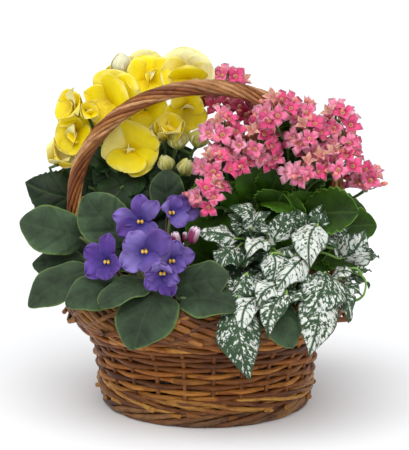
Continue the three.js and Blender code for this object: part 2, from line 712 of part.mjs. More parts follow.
const BEGONIA_BUDS = {
  low: {
    stem: 1, fork: [-30, 22, 224],
    buds: [[[-37, 14, 232], [-41, 9, 245], 7.5], [[-22, 13, 226], [-18, 8, 239], 7.5]],
  },
  high: {
    stem: 1, fork: [-16, 30, 244],
    buds: [[[-25, 24, 252], [-29, 20, 266], 8.5], [[-10, 27, 252], [-7, 25, 266], 8.5]],
  },
  crown: { stem: 0, fork: [-87, 52, 318], buds: [[[-88, 50, 325], [-88, 46, 345], 9]] },
};

function begoniaBloom(bloom, swell) {
  const petals = (list) => (
    list.map(([angle, share, rise]) => ({ angle, length: share * bloom.radius, rise }))
  );
  const outer = { valley: 0.72, depth: 0, mid: 0.5, midRise: 0.2, back: BEGONIA_BACK };
  const inner = { valley: 0.62, depth: 2.5, mid: 0.62, midRise: 0.2, back: 5 };
  const parts = [petalLayer(bloom, petals(bloom.outer), outer, swell)];
  if (bloom.inner.length > 0) {
    parts.push(petalLayer(bloom, petals(bloom.inner), inner, swell));
  }
  return fuse(parts);
}

// How far up its stem each stalk of a plant has its root: one above the other.
function rootShare(order, [lowest, highest], count) {
  return THREE.MathUtils.lerp(lowest, highest, order / count);
}

// A plant of stems that fork from one collar in the soil, with leaves, and stalks for what it bears.
function branchedPlant({ collar, stems, leaves, outline, radius, stalk }, bears, swell) {
  const parts = [stem([collar.foot, collar.top], [collar.radius, collar.radius], 8, swell, 1)];
  for (const points of stems) {
    parts.push(stem(points, [radius, radius * STEM_TAPER], 5, swell));
  }
  leaves.forEach((spec, i) => {
    const root = onStem(stems[spec.stem], rootShare(i, LEAF_ROOTS, leaves.length)).toArray();
    parts.push(leaf(spec, outline, { notch: TEETH, stalk, root }, swell));
  });
  bears.forEach(({ stem: number, carry }, i) => {
    const root = onStem(stems[number], rootShare(i, FLOWER_ROOTS, bears.length)).toArray();
    parts.push(carry(root));
  });
  return fuse(parts);
}

function begoniaPlant(swell) {
  const blooms = Object.values(BEGONIA_BLOOMS).map(({ stem: number, centre, face }) => ({
    stem: number,
    carry: (root) => bloomStalk(root, centre, face, BEGONIA_BACK, BEGONIA_FLOWER_STALK, swell),
  }));
  const sprays = Object.values(BEGONIA_BUDS).map(({ stem: number, fork }) => ({
    stem: number,
    carry: (root) => knotStalk(root, [], fork, KNOT_RADIUS, BEGONIA_FLOWER_STALK, swell),
  }));
  const form = {
    collar: BEGONIA_COLLAR,
    stems: BEGONIA_STEMS,
    leaves: BEGONIA_LEAVES,
    outline: BEGONIA_OUTLINE,
    radius: 4,
    stalk: 2.2,
  };
  return branchedPlant(form, [...sprays, ...blooms], swell);
}

// ---------------------------------------------------------------- kalanchoe
const KALANCHOE_COLLAR = { foot: [46, 42, 62], top: [46, 42, 96], radius: 6 };
const KALANCHOE_STEMS = [
  [[44, 41, 86], [32, 26, 130], [30, 10, 180], [32, -4, 208]],
  [[47, 41, 86], [66, 28, 130], [82, 6, 185], [86, -6, 214]],
  [[46, 44, 86], [62, 60, 130], [80, 60, 180], [92, 56, 206]],
];
const KALANCHOE_OUTLINE = [[0, 0.2], [0.26, 0.86], [0.55, 1], [0.84, 0.66], [1, 0]];
const KALANCHOE_LEAVES = [
  { stem: 1, base: [94, -36, 196], tip: [142, -72, 204], face: [10, 35], width: 34, arch: 5 },
  { stem: 1, base: [104, -28, 176], tip: [166, -34, 184], face: [12, 25], width: 34, arch: 5 },
  { stem: 0, base: [58, -24, 202], tip: [88, -50, 198], face: [0, 40], width: 28, arch: 4 },
  { stem: 1, base: [78, 14, 254], tip: [77, 15, 290], face: [0, 10], width: 22, arch: 2 },
  { stem: 2, base: [112, 42, 188], tip: [168, 60, 178], face: [60, 40], width: 40, arch: 5 },
  { stem: 2, base: [72, 92, 186], tip: [92, 148, 168], face: [165, 40], width: 44, arch: 6 },
  { stem: 2, base: [110, 74, 176], tip: [150, 114, 160], face: [130, 40], width: 42, arch: 6 },
  { stem: 0, base: [38, 86, 190], tip: [20, 140, 176], face: [-175, 40], width: 42, arch: 6 },
  { stem: 0, base: [14, 6, 214], tip: [-12, -6, 196], face: [-5, 25], width: 28, arch: 3 },
];
// Heads: the point where the flower stalks fork, the radius of the head, and florets on it as
// [azimuth, elevation] from the fork, and buds likewise.
const KALANCHOE_HEADS = {
  behind_arch: {
    stem: 2, route: [[40, 48, 250]], fork: [22, 40, 290], reach: 20,
    florets: [[0, 15], [-50, 40], [45, 45], [180, 40]],
    buds: [[0, 80]],
  },
  top: {
    stem: 1, route: [[80, -24, 250]], fork: [68, -30, 284], reach: 19,
    florets: [[-50, 15], [0, 5], [50, 20], [-20, 50], [40, 62]],
    buds: [[-80, 45], [0, 88]],
  },
  centre: {
    stem: 0, route: [[20, -12, 236]], fork: [16, -14, 264], reach: 18,
    florets: [[-55, 5], [0, 0], [50, 10], [-25, 45], [35, 50]],
    buds: [[180, 40], [0, 85]],
  },
  low_centre: {
    stem: 0, route: [[44, -18, 232]], fork: [50, -28, 254], reach: 19,
    florets: [[-60, 5], [-10, 0], [45, 5], [-30, 42], [30, 45]],
    buds: [[0, 82]],
  },
  upper_right: {
    stem: 1, route: [[92, -24, 240]], fork: [97, -30, 262], reach: 18,
    florets: [[-50, 10], [5, 5], [55, 15], [-15, 48], [50, 55]],
    buds: [[0, 85]],
  },
  far_right: {
    stem: 2, route: [[122, 40, 232], [140, 8, 254]], fork: [134, -14, 268], reach: 19,
    florets: [[-60, 10], [-10, 5], [45, 8], [-35, 50], [25, 50], [90, 40]],
    buds: [[0, 85]],
  },
  right: {
    stem: 1, route: [[104, -18, 222]], fork: [122, -34, 236], reach: 19,
    florets: [[-55, 10], [-5, 5], [50, 8], [-25, 50], [35, 50]],
    buds: [[80, 45]],
  },
  low_right: {
    stem: 1, route: [[92, -24, 222]], fork: [96, -42, 230], reach: 17,
    florets: [[-50, 5], [0, 10], [50, 5], [0, 50]],
    buds: [],
  },
  left: {
    stem: 0, route: [[18, -20, 220]], fork: [10, -34, 232], reach: 18,
    florets: [[-60, 8], [-10, 5], [45, 8], [-35, 48], [20, 48]],
    buds: [[0, 85]],
  },
  low_left: {
    stem: 0, route: [[16, -30, 200]], fork: [2, -50, 206], reach: 17,
    florets: [[-45, 15], [20, 10], [-10, 50], [40, 60]],
    buds: [[-80, 10], [-80, 50]],
  },
  sprig: {
    stem: 2, route: [[128, 42, 204], [152, 14, 208]], fork: [158, -8, 214], reach: 15,
    florets: [[-50, 5], [10, 10], [-10, 55]],
    buds: [[50, 30], [70, -5], [40, 70]],
  },
  back: {
    stem: 2, route: [[84, 70, 224]], fork: [84, 78, 236], reach: 20,
    florets: [[120, 20], [180, 15], [-120, 20], [150, 60], [-150, 60]],
    buds: [[0, 88]],
  },
};
const FLORET = { reach: 8.4, notch: 3.8, lift: 0.8, dip: 0.4, depth: 3.2, stalk: 0.9, root: 1.9 };
const FLORET_TURN = 37;          // how much each floret is turned from the one before
const FLORET_NOD = [0, -0.35, 0.25]; // florets turn towards the viewer and the light
const HEAD_KNOT = 2.9;           // swelling where the flower stalks of a head fork
const HEAD_LIFT = 8;             // how far a head's florets stand above its fork
const HEAD_BUD = { reach: 0.8, length: 7, radius: 2.8 };
const KALANCHOE_FLOWER_STALK = 1.7;

// A floret on its stalk in one skin: four blunt petals round a dipped throat, and a pointed cup that
// runs down into the stalk.
function floret(fork, centre, look, spin, swell) {
  const right = (Math.abs(look.z) > 0.9 ? v(1, 0, 0) : v(0, 0, 1)).cross(look).normalize();
  const up = look.clone().cross(right);
  const at = (middle, angle, reach, rise) => middle.clone()
    .addScaledVector(right, (reach + swell) * Math.cos(radians(angle)))
    .addScaledVector(up, (reach + swell) * Math.sin(radians(angle)))
    .addScaledVector(look, rise);
  const outline = [];
  for (let petal = 0; petal < 4; petal += 1) {
    const middle = spin + 90 * petal;
    outline.push(at(centre, middle, FLORET.reach, FLORET.lift));
    outline.push(at(centre, middle + 45, FLORET.notch, 0));
  }
  const throat = centre.clone().addScaledVector(look, swell - FLORET.dip);
  const ring = (middle) => [0, 1, 2, 3].map((s) => at(middle, spin + 90 * s, FLORET.stalk, 0));
  const cup = ring(centre.clone().addScaledVector(look, -FLORET.depth - swell));
  const foot = ring(fork.clone().addScaledVector(centre.clone().sub(fork).normalize(), FLORET.root));
  const points = [...outline, throat, ...cup, ...foot];
  const faces = [];
  const count = outline.length;
  for (let i = 0; i < count; i += 1) {
    faces.push([count, i, (i + 1) % count]);
  }
  for (let s = 0; s < 4; s += 1) {
    const t = (s + 1) % 4;
    const cupHere = count + 1 + s;
    const cupNext = count + 1 + t;
    faces.push([cupHere, 2 * s + 1, 2 * s], [cupHere, cupNext, 2 * s + 1], [cupNext, 2 * t, 2 * s + 1]);
    faces.push([cupHere + 4, cupNext + 4, cupNext], [cupHere + 4, cupNext, cupHere]);
  }
  faces.push([count + 5, count + 7, count + 6], [count + 5, count + 8, count + 7]);
  return meshed(points, faces);
}

function kalanchoeHead({ fork, reach, florets, buds }, swell) {
  const root = point(fork);
  const parts = [knot(fork, HEAD_KNOT, swell)];
  florets.forEach(([azimuth, elevation], i) => {
    const out = facing([azimuth, elevation]);
    const centre = root.clone().addScaledVector(out, reach).add(v(0, 0, HEAD_LIFT));
    const look = out.clone().add(point(FLORET_NOD)).normalize();
    parts.push(floret(root, centre, look, FLORET_TURN * i, swell));
  });
  buds.forEach(([azimuth, elevation]) => {
    const out = facing([azimuth, elevation]);
    const base = root.clone().addScaledVector(out, reach * HEAD_BUD.reach).add(v(0, 0, HEAD_LIFT));
    const tip = base.clone().addScaledVector(out, HEAD_BUD.length);
    parts.push(bud(fork, base.toArray(), tip.toArray(), HEAD_BUD.radius, 3, swell));
  });
  return fuse(parts);
}

function kalanchoePlant(swell) {
  const heads = Object.values(KALANCHOE_HEADS).map(({ stem: number, route, fork }) => ({
    stem: number,
    carry: (root) => knotStalk(root, route, fork, HEAD_KNOT, KALANCHOE_FLOWER_STALK, swell),
  }));
  const form = {
    collar: KALANCHOE_COLLAR,
    stems: KALANCHOE_STEMS,
    leaves: KALANCHOE_LEAVES,
    outline: KALANCHOE_OUTLINE,
    radius: 3,
    stalk: 1.6,
  };
  return branchedPlant(form, heads, swell);
}

// ---------------------------------------------------------------- polka-dot plant
const POLKADOT_OUTLINE = [[0, 0.16], [0.2, 0.82], [0.42, 1], [0.68, 0.66], [1, 0]];
const POLKADOT_ROOTS = [0.4, 0.96]; // lowest and highest root of its leaves, as shares of a stem
const POLKADOT_STALK = 1.1;
const POLKADOT_STEM = [2, 1.4];  // radius at the foot and at the tip
const POLKADOT_STEMS = {
  upper_left: {
    foot: [28, -50, 64], path: [[30, -56, 120], [36, -62, 160], [46, -64, 184]],
    leaves: [
      { base: [56, -62, 188], tip: [27, -78, 212], face: [-5, 45], width: 28, arch: 3 },
      { base: [30, -72, 178], tip: [-8, -80, 186], face: [-10, 45], width: 22, arch: 3 },
      { base: [32, -74, 172], tip: [12, -104, 158], face: [-10, 40], width: 32, arch: 4 },
      { base: [42, -70, 186], tip: [56, -84, 206], face: [5, 40], width: 20, arch: 2 },
    ],
  },
  upper_middle: {
    foot: [44, -48, 64], path: [[50, -58, 120], [60, -68, 158], [66, -70, 176]],
    leaves: [
      { base: [62, -74, 176], tip: [74, -66, 204], face: [0, 30], width: 24, arch: 2 },
      { base: [58, -78, 178], tip: [38, -108, 172], face: [-5, 50], width: 24, arch: 3 },
      { base: [74, -72, 178], tip: [86, -62, 204], face: [10, 30], width: 20, arch: 2 },
    ],
  },
  upper_right: {
    foot: [64, -44, 64], path: [[82, -52, 120], [98, -62, 160], [106, -64, 186]],
    leaves: [
      { base: [106, -72, 192], tip: [97, -112, 162], face: [5, 35], width: 34, arch: 6 },
      { base: [128, -60, 156], tip: [150, -70, 184], face: [20, 25], width: 40, arch: 4 },
      { base: [140, -54, 158], tip: [166, -60, 160], face: [40, 40], width: 18, arch: 3 },
    ],
  },
  middle: {
    foot: [52, -64, 64], path: [[62, -76, 120], [72, -86, 150], [78, -88, 164]],
    leaves: [
      { base: [62, -92, 168], tip: [59, -120, 146], face: [-5, 35], width: 30, arch: 4 },
      { base: [92, -96, 166], tip: [64, -132, 144], face: [0, 40], width: 26, arch: 5 },
    ],
  },
  right: {
    foot: [68, -57, 64], path: [[74, -60, 92], [92, -72, 118], [112, -80, 137], [132, -72, 140]],
    leaves: [
      { base: [112, -92, 150], tip: [92, -142, 122], face: [5, 45], width: 48, arch: 9 },
      { base: [122, -96, 140], tip: [136, -116, 110], face: [30, 30], width: 26, arch: 4 },
      { base: [134, -68, 138], tip: [158, -68, 132], face: [20, 50], width: 10, arch: 4 },
      { base: [132, -72, 142], tip: [154, -84, 152], face: [20, 50], width: 10, arch: 3 },
    ],
  },
  front_left: {
    foot: [34, -68, 64], path: [[36, -88, 116], [38, -102, 136], [40, -110, 142]],
    leaves: [
      { base: [38, -104, 152], tip: [24, -130, 130], face: [-10, 35], width: 24, arch: 4 },
      { base: [48, -124, 134], tip: [33, -156, 108], face: [-5, 35], width: 22, arch: 6 },
      { base: [30, -126, 134], tip: [40, -163, 68], face: [0, 20], width: 44, arch: 12 },
    ],
  },
  front_middle: {
    foot: [46, -74, 64], path: [[48, -76, 92], [56, -92, 116], [66, -106, 133], [74, -116, 139]],
    leaves: [
      { base: [70, -118, 144], tip: [46, -142, 132], face: [0, 50], width: 24, arch: 4 },
      { base: [74, -126, 138], tip: [56, -160, 106], face: [0, 30], width: 22, arch: 6 },
    ],
  },
  front_right: {
    foot: [62, -70, 64], path: [[66, -72, 92], [78, -84, 117], [98, -102, 135], [110, -112, 139]],
    leaves: [
      { base: [112, -118, 136], tip: [96, -150, 78], face: [10, 20], width: 42, arch: 8 },
    ],
  },
};

// A leafy stem: each leaf stalk has its root at the nearest point of the stem above the soil.
function polkadotStem({ foot, path, leaves }, swell) {
  const points = [foot, ...path];
  const places = Array.from({ length: 15 }, (_, i) => onStem(points, rootShare(i, POLKADOT_ROOTS, 14)));
  const parts = [stem(points, POLKADOT_STEM, 5, swell)];
  for (const spec of leaves) {
    const base = point(spec.base);
    const root = places.reduce((a, b) => (b.distanceTo(base) < a.distanceTo(base) ? b : a));
    parts.push(leaf(spec, POLKADOT_OUTLINE, { stalk: POLKADOT_STALK, root: root.toArray() }, swell));
  }
  return fuse(parts);
}

// ---------------------------------------------------------------- materials
function paint(hex, roughness) {
  return new THREE.MeshStandardMaterial({ color: new THREE.Color(hex), roughness, metalness: 0 });
}

const WILLOW = '#9a5a2a';
const DARK_WILLOW = '#7d4526';
const BLACK_FILM = '#1f2120';
const TERRACOTTA = '#8d4a34';
const PEAT = '#2f2219';
const VIOLET_GREEN = '#4c5f4a';
const VIOLET_BLUE = '#5b43b4';
const BUD_PINK = '#d9a9c4';
const BEGONIA_GREEN = '#2c4420';
const LEMON = '#f2e02c';
const KALANCHOE_GREEN = '#35522a';
const HOT_PINK = '#e2607f';
const SPECKLED = '#a9b5a6';

// ---------------------------------------------------------------- the arrangement
const arrangement = new THREE.Group();
const settled = [];

function place(name, solid, material) {
  const mesh = new THREE.Mesh(toGeometry(solid), material);
  mesh.name = name;
  arrangement.add(mesh);
}

function boxesMeet(a, b) {
  const one = a.boundingBox();
  const two = b.boundingBox();
  return [0, 1, 2].every((k) => one.min[k] - GAP < two.max[k] && two.min[k] - GAP < one.max[k]);
}

// Plants grow round what is already there: a piece is cut clear of each earlier piece it meets.
// Each call gives back the room the piece takes, with its clearance.
function grow(name, make, material) {
  let solid = make(0);
  for (const other of settled) {
    if (boxesMeet(solid, other.solid)) {
      solid = solid.subtract(other.swollen);
    }
  }
  solid = mainBody(solid.simplify(TRIFLE));
  const swollen = make(GAP);
  settled.push({ solid, swollen });
  place(name, solid, material);
  return swollen;
}

place('basket_base', basketBase(), paint(DARK_WILLOW, 0.7));
place('basket_wall', basketWall(), paint(WILLOW, 0.6));
place('foot_border', toSolid(border(FOOT)), paint(DARK_WILLOW, 0.6));
place('rim_border', rimBorder(), paint(WILLOW, 0.6));
place('liner', liner(), paint(BLACK_FILM, 0.4));
for (const [plant, centre] of Object.entries(POT_PLACES)) {
  place(`pot_${plant}`, pot(centre), paint(TERRACOTTA, 0.6));
}
grow('handle', (swell) => toSolid(handle(swell)), paint(WILLOW, 0.55));
settled.push({ solid: toSolid(border(RIM)), swollen: toSolid(border(RIM, GAP)) });

VIOLET_BLOOMS.forEach((bloom, i) => {
  grow(`violet_bloom_${i + 1}`, (swell) => violetBloom(bloom, swell), paint(VIOLET_BLUE, 0.6));
});
grow('violet_buds', (swell) => budSpray(VIOLET_BUDS, swell), paint(BUD_PINK, 0.6));
for (const [name, bloom] of Object.entries(BEGONIA_BLOOMS)) {
  grow(`begonia_bloom_${name}`, (swell) => begoniaBloom(bloom, swell), paint(LEMON, 0.55));
}
for (const [name, sprig] of Object.entries(BEGONIA_BUDS)) {
  grow(`begonia_buds_${name}`, (swell) => budSpray(sprig, swell), paint(LEMON, 0.55));
}
for (const [name, head] of Object.entries(KALANCHOE_HEADS)) {
  grow(`kalanchoe_head_${name}`, (swell) => kalanchoeHead(head, swell), paint(HOT_PINK, 0.6));
}
const polkadotStems = Object.entries(POLKADOT_STEMS).map(([name, leafy]) => (
  grow(`polkadot_stem_${name}`, (swell) => polkadotStem(leafy, swell), paint(SPECKLED, 0.6))
));
const violet = grow('violet_plant', violetPlant, paint(VIOLET_GREEN, 0.85));
const kalanchoe = grow('kalanchoe_plant', kalanchoePlant, paint(KALANCHOE_GREEN, 0.4));
const begonia = grow('begonia_plant', begoniaPlant, paint(BEGONIA_GREEN, 0.45));

place('soil_begonia', soil(POT_PLACES.begonia, [begonia]), paint(PEAT, 0.95));
place('soil_kalanchoe', soil(POT_PLACES.kalanchoe, [kalanchoe]), paint(PEAT, 0.95));
place('soil_violet', soil(POT_PLACES.violet, [violet]), paint(PEAT, 0.95));
place('soil_polkadot', soil(POT_PLACES.polkadot, polkadotStems), paint(PEAT, 0.95));

export default arrangement;
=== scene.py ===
import math
import random

import bpy
import numpy as np
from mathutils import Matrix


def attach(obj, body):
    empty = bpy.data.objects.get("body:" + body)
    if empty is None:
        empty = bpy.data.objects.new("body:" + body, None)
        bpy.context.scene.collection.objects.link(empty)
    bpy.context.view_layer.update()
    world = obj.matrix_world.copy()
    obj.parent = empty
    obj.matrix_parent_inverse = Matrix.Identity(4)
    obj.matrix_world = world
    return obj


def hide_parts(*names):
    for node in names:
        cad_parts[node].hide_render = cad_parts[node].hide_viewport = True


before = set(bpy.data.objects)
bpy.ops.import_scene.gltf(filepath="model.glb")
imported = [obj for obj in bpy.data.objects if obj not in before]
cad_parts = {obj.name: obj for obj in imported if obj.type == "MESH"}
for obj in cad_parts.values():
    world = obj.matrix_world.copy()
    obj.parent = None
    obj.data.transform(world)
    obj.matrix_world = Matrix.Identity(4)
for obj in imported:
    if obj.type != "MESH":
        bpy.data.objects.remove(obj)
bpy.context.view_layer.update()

# ------------------------------------------------------------------ studio
# A seamless pale table under wide soft lights. The camera stands a little above the handle's
# springing, about a metre and a half in front of the basket, and looks slightly down at it.
DISTANCE, EYE_HEIGHT, LOOK_DOWN = 1.450, 0.452, 10.72  # metres, metres and degrees


def stand(name, data):
    """An object made of a mesh, a lamp or a camera, and put in the scene."""
    thing = bpy.data.objects.new(name, data)
    bpy.context.scene.collection.objects.link(thing)
    return thing


camera = stand("camera", bpy.data.cameras.new("camera"))
camera.location = (-0.0015, -DISTANCE, EYE_HEIGHT)
camera.rotation_euler = (math.radians(90 - LOOK_DOWN), 0, 0)
camera.data.lens = 118.24
camera.data.sensor_width = 36
camera.data.clip_end = 60
bpy.context.scene.camera = camera
bpy.context.scene.view_settings.view_transform = "Standard"


def linear(code):
    """An sRGB colour such as "#9a5a2a" as the linear values that shaders take."""
    parts = [int(code[i:i + 2], 16) / 255 for i in (1, 3, 5)]
    return tuple(c / 12.92 if c <= 0.04045 else ((c + 0.055) / 1.055) ** 2.4 for c in parts) + (1.0,)


def feed(tree, node, inputs):
    """Gives sockets, by name or number, a value or a link. A node stands for its first output."""
    for socket, value in inputs.items():
        if isinstance(value, bpy.types.Node):
            value = value.outputs[0]
        if isinstance(value, bpy.types.NodeSocket):
            tree.links.new(value, node.inputs[socket])
        else:
            node.inputs[socket].default_value = value


def add(tree, kind, inputs=None, take=None, **settings):
    """A node with its settings and its sockets fed. kind is its name, where ShaderNode, GeometryNode or
    FunctionNode may be left out, and then its operation; take names an output to hand back."""
    kind, *operation = kind.split()
    families = ("ShaderNode", "GeometryNode", "FunctionNode", "")
    node = tree.nodes.new(next(family + kind for family in families if hasattr(bpy.types, family + kind)))
    if operation:
        node.operation = operation[0]
    for setting, value in settings.items():
        setattr(node, setting, value)
    feed(tree, node, inputs or {})
    return node if take is None else node.outputs[take]


def finish(name):
    """A new material with an empty node tree, and its shader wired to the output."""
    material = bpy.data.materials.new(name)
    material.use_nodes = True
    tree = material.node_tree
    tree.nodes.clear()
    shader = add(tree, "BsdfPrincipled")
    add(tree, "OutputMaterial", {"Surface": shader})
    return material, tree, shader


def table_paper():
    """White seamless paper: matt, with a very faint tooth."""
    material, tree, shader = finish("seamless_paper")
    place = add(tree, "TexCoord", take="Object")
    tooth = add(tree, "TexNoise", {"Vector": place, "Scale": 900.0, "Detail": 2.0})
    bump = add(tree, "Bump", {"Strength": 0.05, "Distance": 0.0001, "Height": tooth})
    feed(tree, shader, {"Base Color": linear("#f3f4f6"), "Roughness": 0.9, "Specular IOR Level": 0.1,
                        "Normal": bump})
    return material


table = bpy.data.meshes.new("seamless_table")
table.from_pydata([(-25, -6, 0), (25, -6, 0), (25, 40, 0), (-25, 40, 0)], [], [(0, 1, 2, 3)])
table.materials.append(table_paper())
stand("seamless_table", table)

world = bpy.data.worlds.new("white_room")
world.use_nodes = True
world.node_tree.nodes["Background"].inputs["Color"].default_value = linear("#ffffff")
world.node_tree.nodes["Background"].inputs["Strength"].default_value = 0.66
bpy.context.scene.world = world

for label, energy, spread, height, turn in (
        ("overhead_scrim", 1.8, 70, 66, -24), ("front_fill", 0.5, 50, 30, 30)):
    light = stand(label, bpy.data.lights.new(label, "SUN"))
    light.data.energy = energy
    light.data.angle = math.radians(spread)
    light.rotation_euler = (math.radians(90 - height), 0, math.radians(turn))

# ------------------------------------------------------------------ willow wall
# The wall is randed: one long run of brown willow rods goes in front of one stake and behind the
# next. With an odd number of stakes each course falls the other way round from the one below.
def willow(name, shades, gloss=0.42):
    """Varnished willow: each rod has its own brown, with fine grain and darker stains along it."""
    material, tree, shader = finish(name)
    rod, along, around = (add(tree, "Attribute", take="Fac", attribute_name=label)
                          for label in ("rod", "along", "around"))
    turn = add(tree, "Math MULTIPLY", {0: around, 1: 2 * math.pi})
    cosine = add(tree, "Math COSINE", {0: turn})
    sine = add(tree, "Math SINE", {0: turn})
    skin = add(tree, "CombineXYZ", {0: cosine, 1: sine, 2: along})
    own = add(tree, "VectorMath SCALE", {0: (31.0, 17.0, 5.0), "Scale": rod})
    # grain lines 0.5 mm apart that run 20 mm and more along the rod
    grain_place = add(tree, "VectorMath MULTIPLY", {0: skin, 1: (2.2, 2.2, 40.0)})
    grain_place = add(tree, "VectorMath", {0: grain_place, 1: own})
    grain = add(tree, "TexNoise", {"Vector": grain_place, "Scale": 1.9, "Detail": 6.0, "Roughness": 0.6})
    # patches 15 mm long where the bark left a stain
    stain_place = add(tree, "VectorMath MULTIPLY", {0: skin, 1: (0.5, 0.5, 65.0)})
    stain_place = add(tree, "VectorMath", {0: stain_place, 1: own})
    stain = add(tree, "TexNoise", {"Vector": stain_place, "Scale": 1.0, "Detail": 3.0})
    ramp = add(tree, "ValToRGB", {"Fac": rod})
    stops = ramp.color_ramp.elements
    for k, shade in enumerate(shades):
        stop = stops[k] if k < 2 else stops.new(1.0)
        stop.position = k / (len(shades) - 1)
        stop.color = linear(shade)
    dark = add(tree, "Mix", {0: 1.0, 6: ramp, 7: linear("#a0764a")}, 2, data_type="RGBA", blend_type="MULTIPLY")
    share = add(tree, "MapRange", {0: stain, 1: 0.45, 2: 0.68, 3: 0.0, 4: 0.8})
    stained = add(tree, "Mix", {0: share, 6: ramp, 7: dark}, 2, data_type="RGBA")
    lines = add(tree, "MapRange", {0: grain, 1: 0.3, 2: 0.7, 3: 0.45, 4: 1.36})
    colour = add(tree, "VectorMath SCALE", {0: stained, "Scale": lines})
    rough = add(tree, "MapRange", {0: grain, 1: 0.3, 2: 0.7, 3: gloss + 0.12, 4: gloss - 0.06})
    bump = add(tree, "Bump", {"Strength": 0.6, "Distance": 0.0006, "Height": grain})
    feed(tree, shader, {"Base Color": colour, "Roughness": rough, "Normal": bump, "Coat Weight": 0.07,
                        "Coat Roughness": 0.25, "Specular IOR Level": 0.28})
    return material


def node_tree(name, inputs):
    """An empty geometry tree with named inputs; gives back its input and output nodes too."""
    tree = bpy.data.node_groups.new(name, "GeometryNodeTree")
    tree.interface.new_socket("Geometry", in_out="INPUT", socket_type="NodeSocketGeometry")
    tree.interface.new_socket("Geometry", in_out="OUTPUT", socket_type="NodeSocketGeometry")
    for label, kind in inputs.items():
        tree.interface.new_socket(label, in_out="INPUT", socket_type="NodeSocket" + kind)
    return tree, tree.nodes.new("NodeGroupInput").outputs, tree.nodes.new("NodeGroupOutput")


def rod_skin(tree, curve, radius, sides, caps=True):
    """Gives a curve the round section of a rod, with its length and girth stored for the grain."""
    length = add(tree, "SplineParameter", take="Length")
    measured = add(tree, "StoreNamedAttribute", {"Geometry": curve, "Name": "along", "Value": length})
    section = add(tree, "CurvePrimitiveCircle", {"Resolution": sides, "Radius": 1.0})
    factor = add(tree, "SplineParameter", take="Factor")
    girth = add(tree, "StoreNamedAttribute", {"Geometry": section, "Name": "around", "Value": factor})
    body = add(tree, "CurveToMesh",
               {"Curve": measured, "Profile Curve": girth, "Scale": radius, "Fill Caps": caps})
    return add(tree, "SetShadeSmooth", {"Geometry": body})


def dressed(tree, geometry, material):
    """Real geometry in its material, as every tree ends."""
    whole = add(tree, "RealizeInstances", {"Geometry": geometry})
    return add(tree, "SetMaterial", {"Geometry": whole, "Material": material})


# the wall's outside in metres: its radius at the floor and its lean, then where the flare starts,
# how high it is and how far it goes out
WALL_FOOT, WALL_LEAN, FLARE_START, FLARE_HEIGHT, FLARE_WIDTH = 0.106, 10 / 59, 0.059, 0.037, 0.022


def wall_radius(tree, z):
    """The wall's outside radius at height z."""
    lean = add(tree, "Math MULTIPLY_ADD", {0: z, 1: WALL_LEAN, 2: WALL_FOOT})
    over = add(tree, "Math SUBTRACT", {0: z, 1: FLARE_START})
    over = add(tree, "Math MAXIMUM", {0: over, 1: 0.0})
    over = add(tree, "Math DIVIDE", {0: over, 1: FLARE_HEIGHT})
    curve = add(tree, "Math POWER", {0: over, 1: 1.5})
    return add(tree, "Math MULTIPLY_ADD", {0: curve, 1: FLARE_WIDTH, 2: lean})


def ring_place(tree, angle, radius, z):
    """The point at an angle round the basket's axis."""
    x = add(tree, "Math MULTIPLY", {0: add(tree, "Math COSINE", {0: angle}), 1: radius})
    y = add(tree, "Math MULTIPLY", {0: add(tree, "Math SINE", {0: angle}), 1: radius})
    return add(tree, "CombineXYZ", {0: x, 1: y, 2: z})


def wobble(tree, place, scale, amount, dimensions="3D"):
    """Smooth noise from -amount to amount."""
    socket = "W" if dimensions == "1D" else "Vector"
    noise = add(tree, "TexNoise", {"Scale": scale, "Detail": 1.0, socket: place}, noise_dimensions=dimensions)
    centred = add(tree, "Math SUBTRACT", {0: noise, 1: 0.5})
    return add(tree, "Math MULTIPLY", {0: centred, 1: 2 * amount})


# points of the weaver from stake to stake, points up a stake, turns of the wall to a rod's length
WEAVER_STEPS, STAKE_POINTS, RODS_PER_TURN = 6.0, 24, 1.7


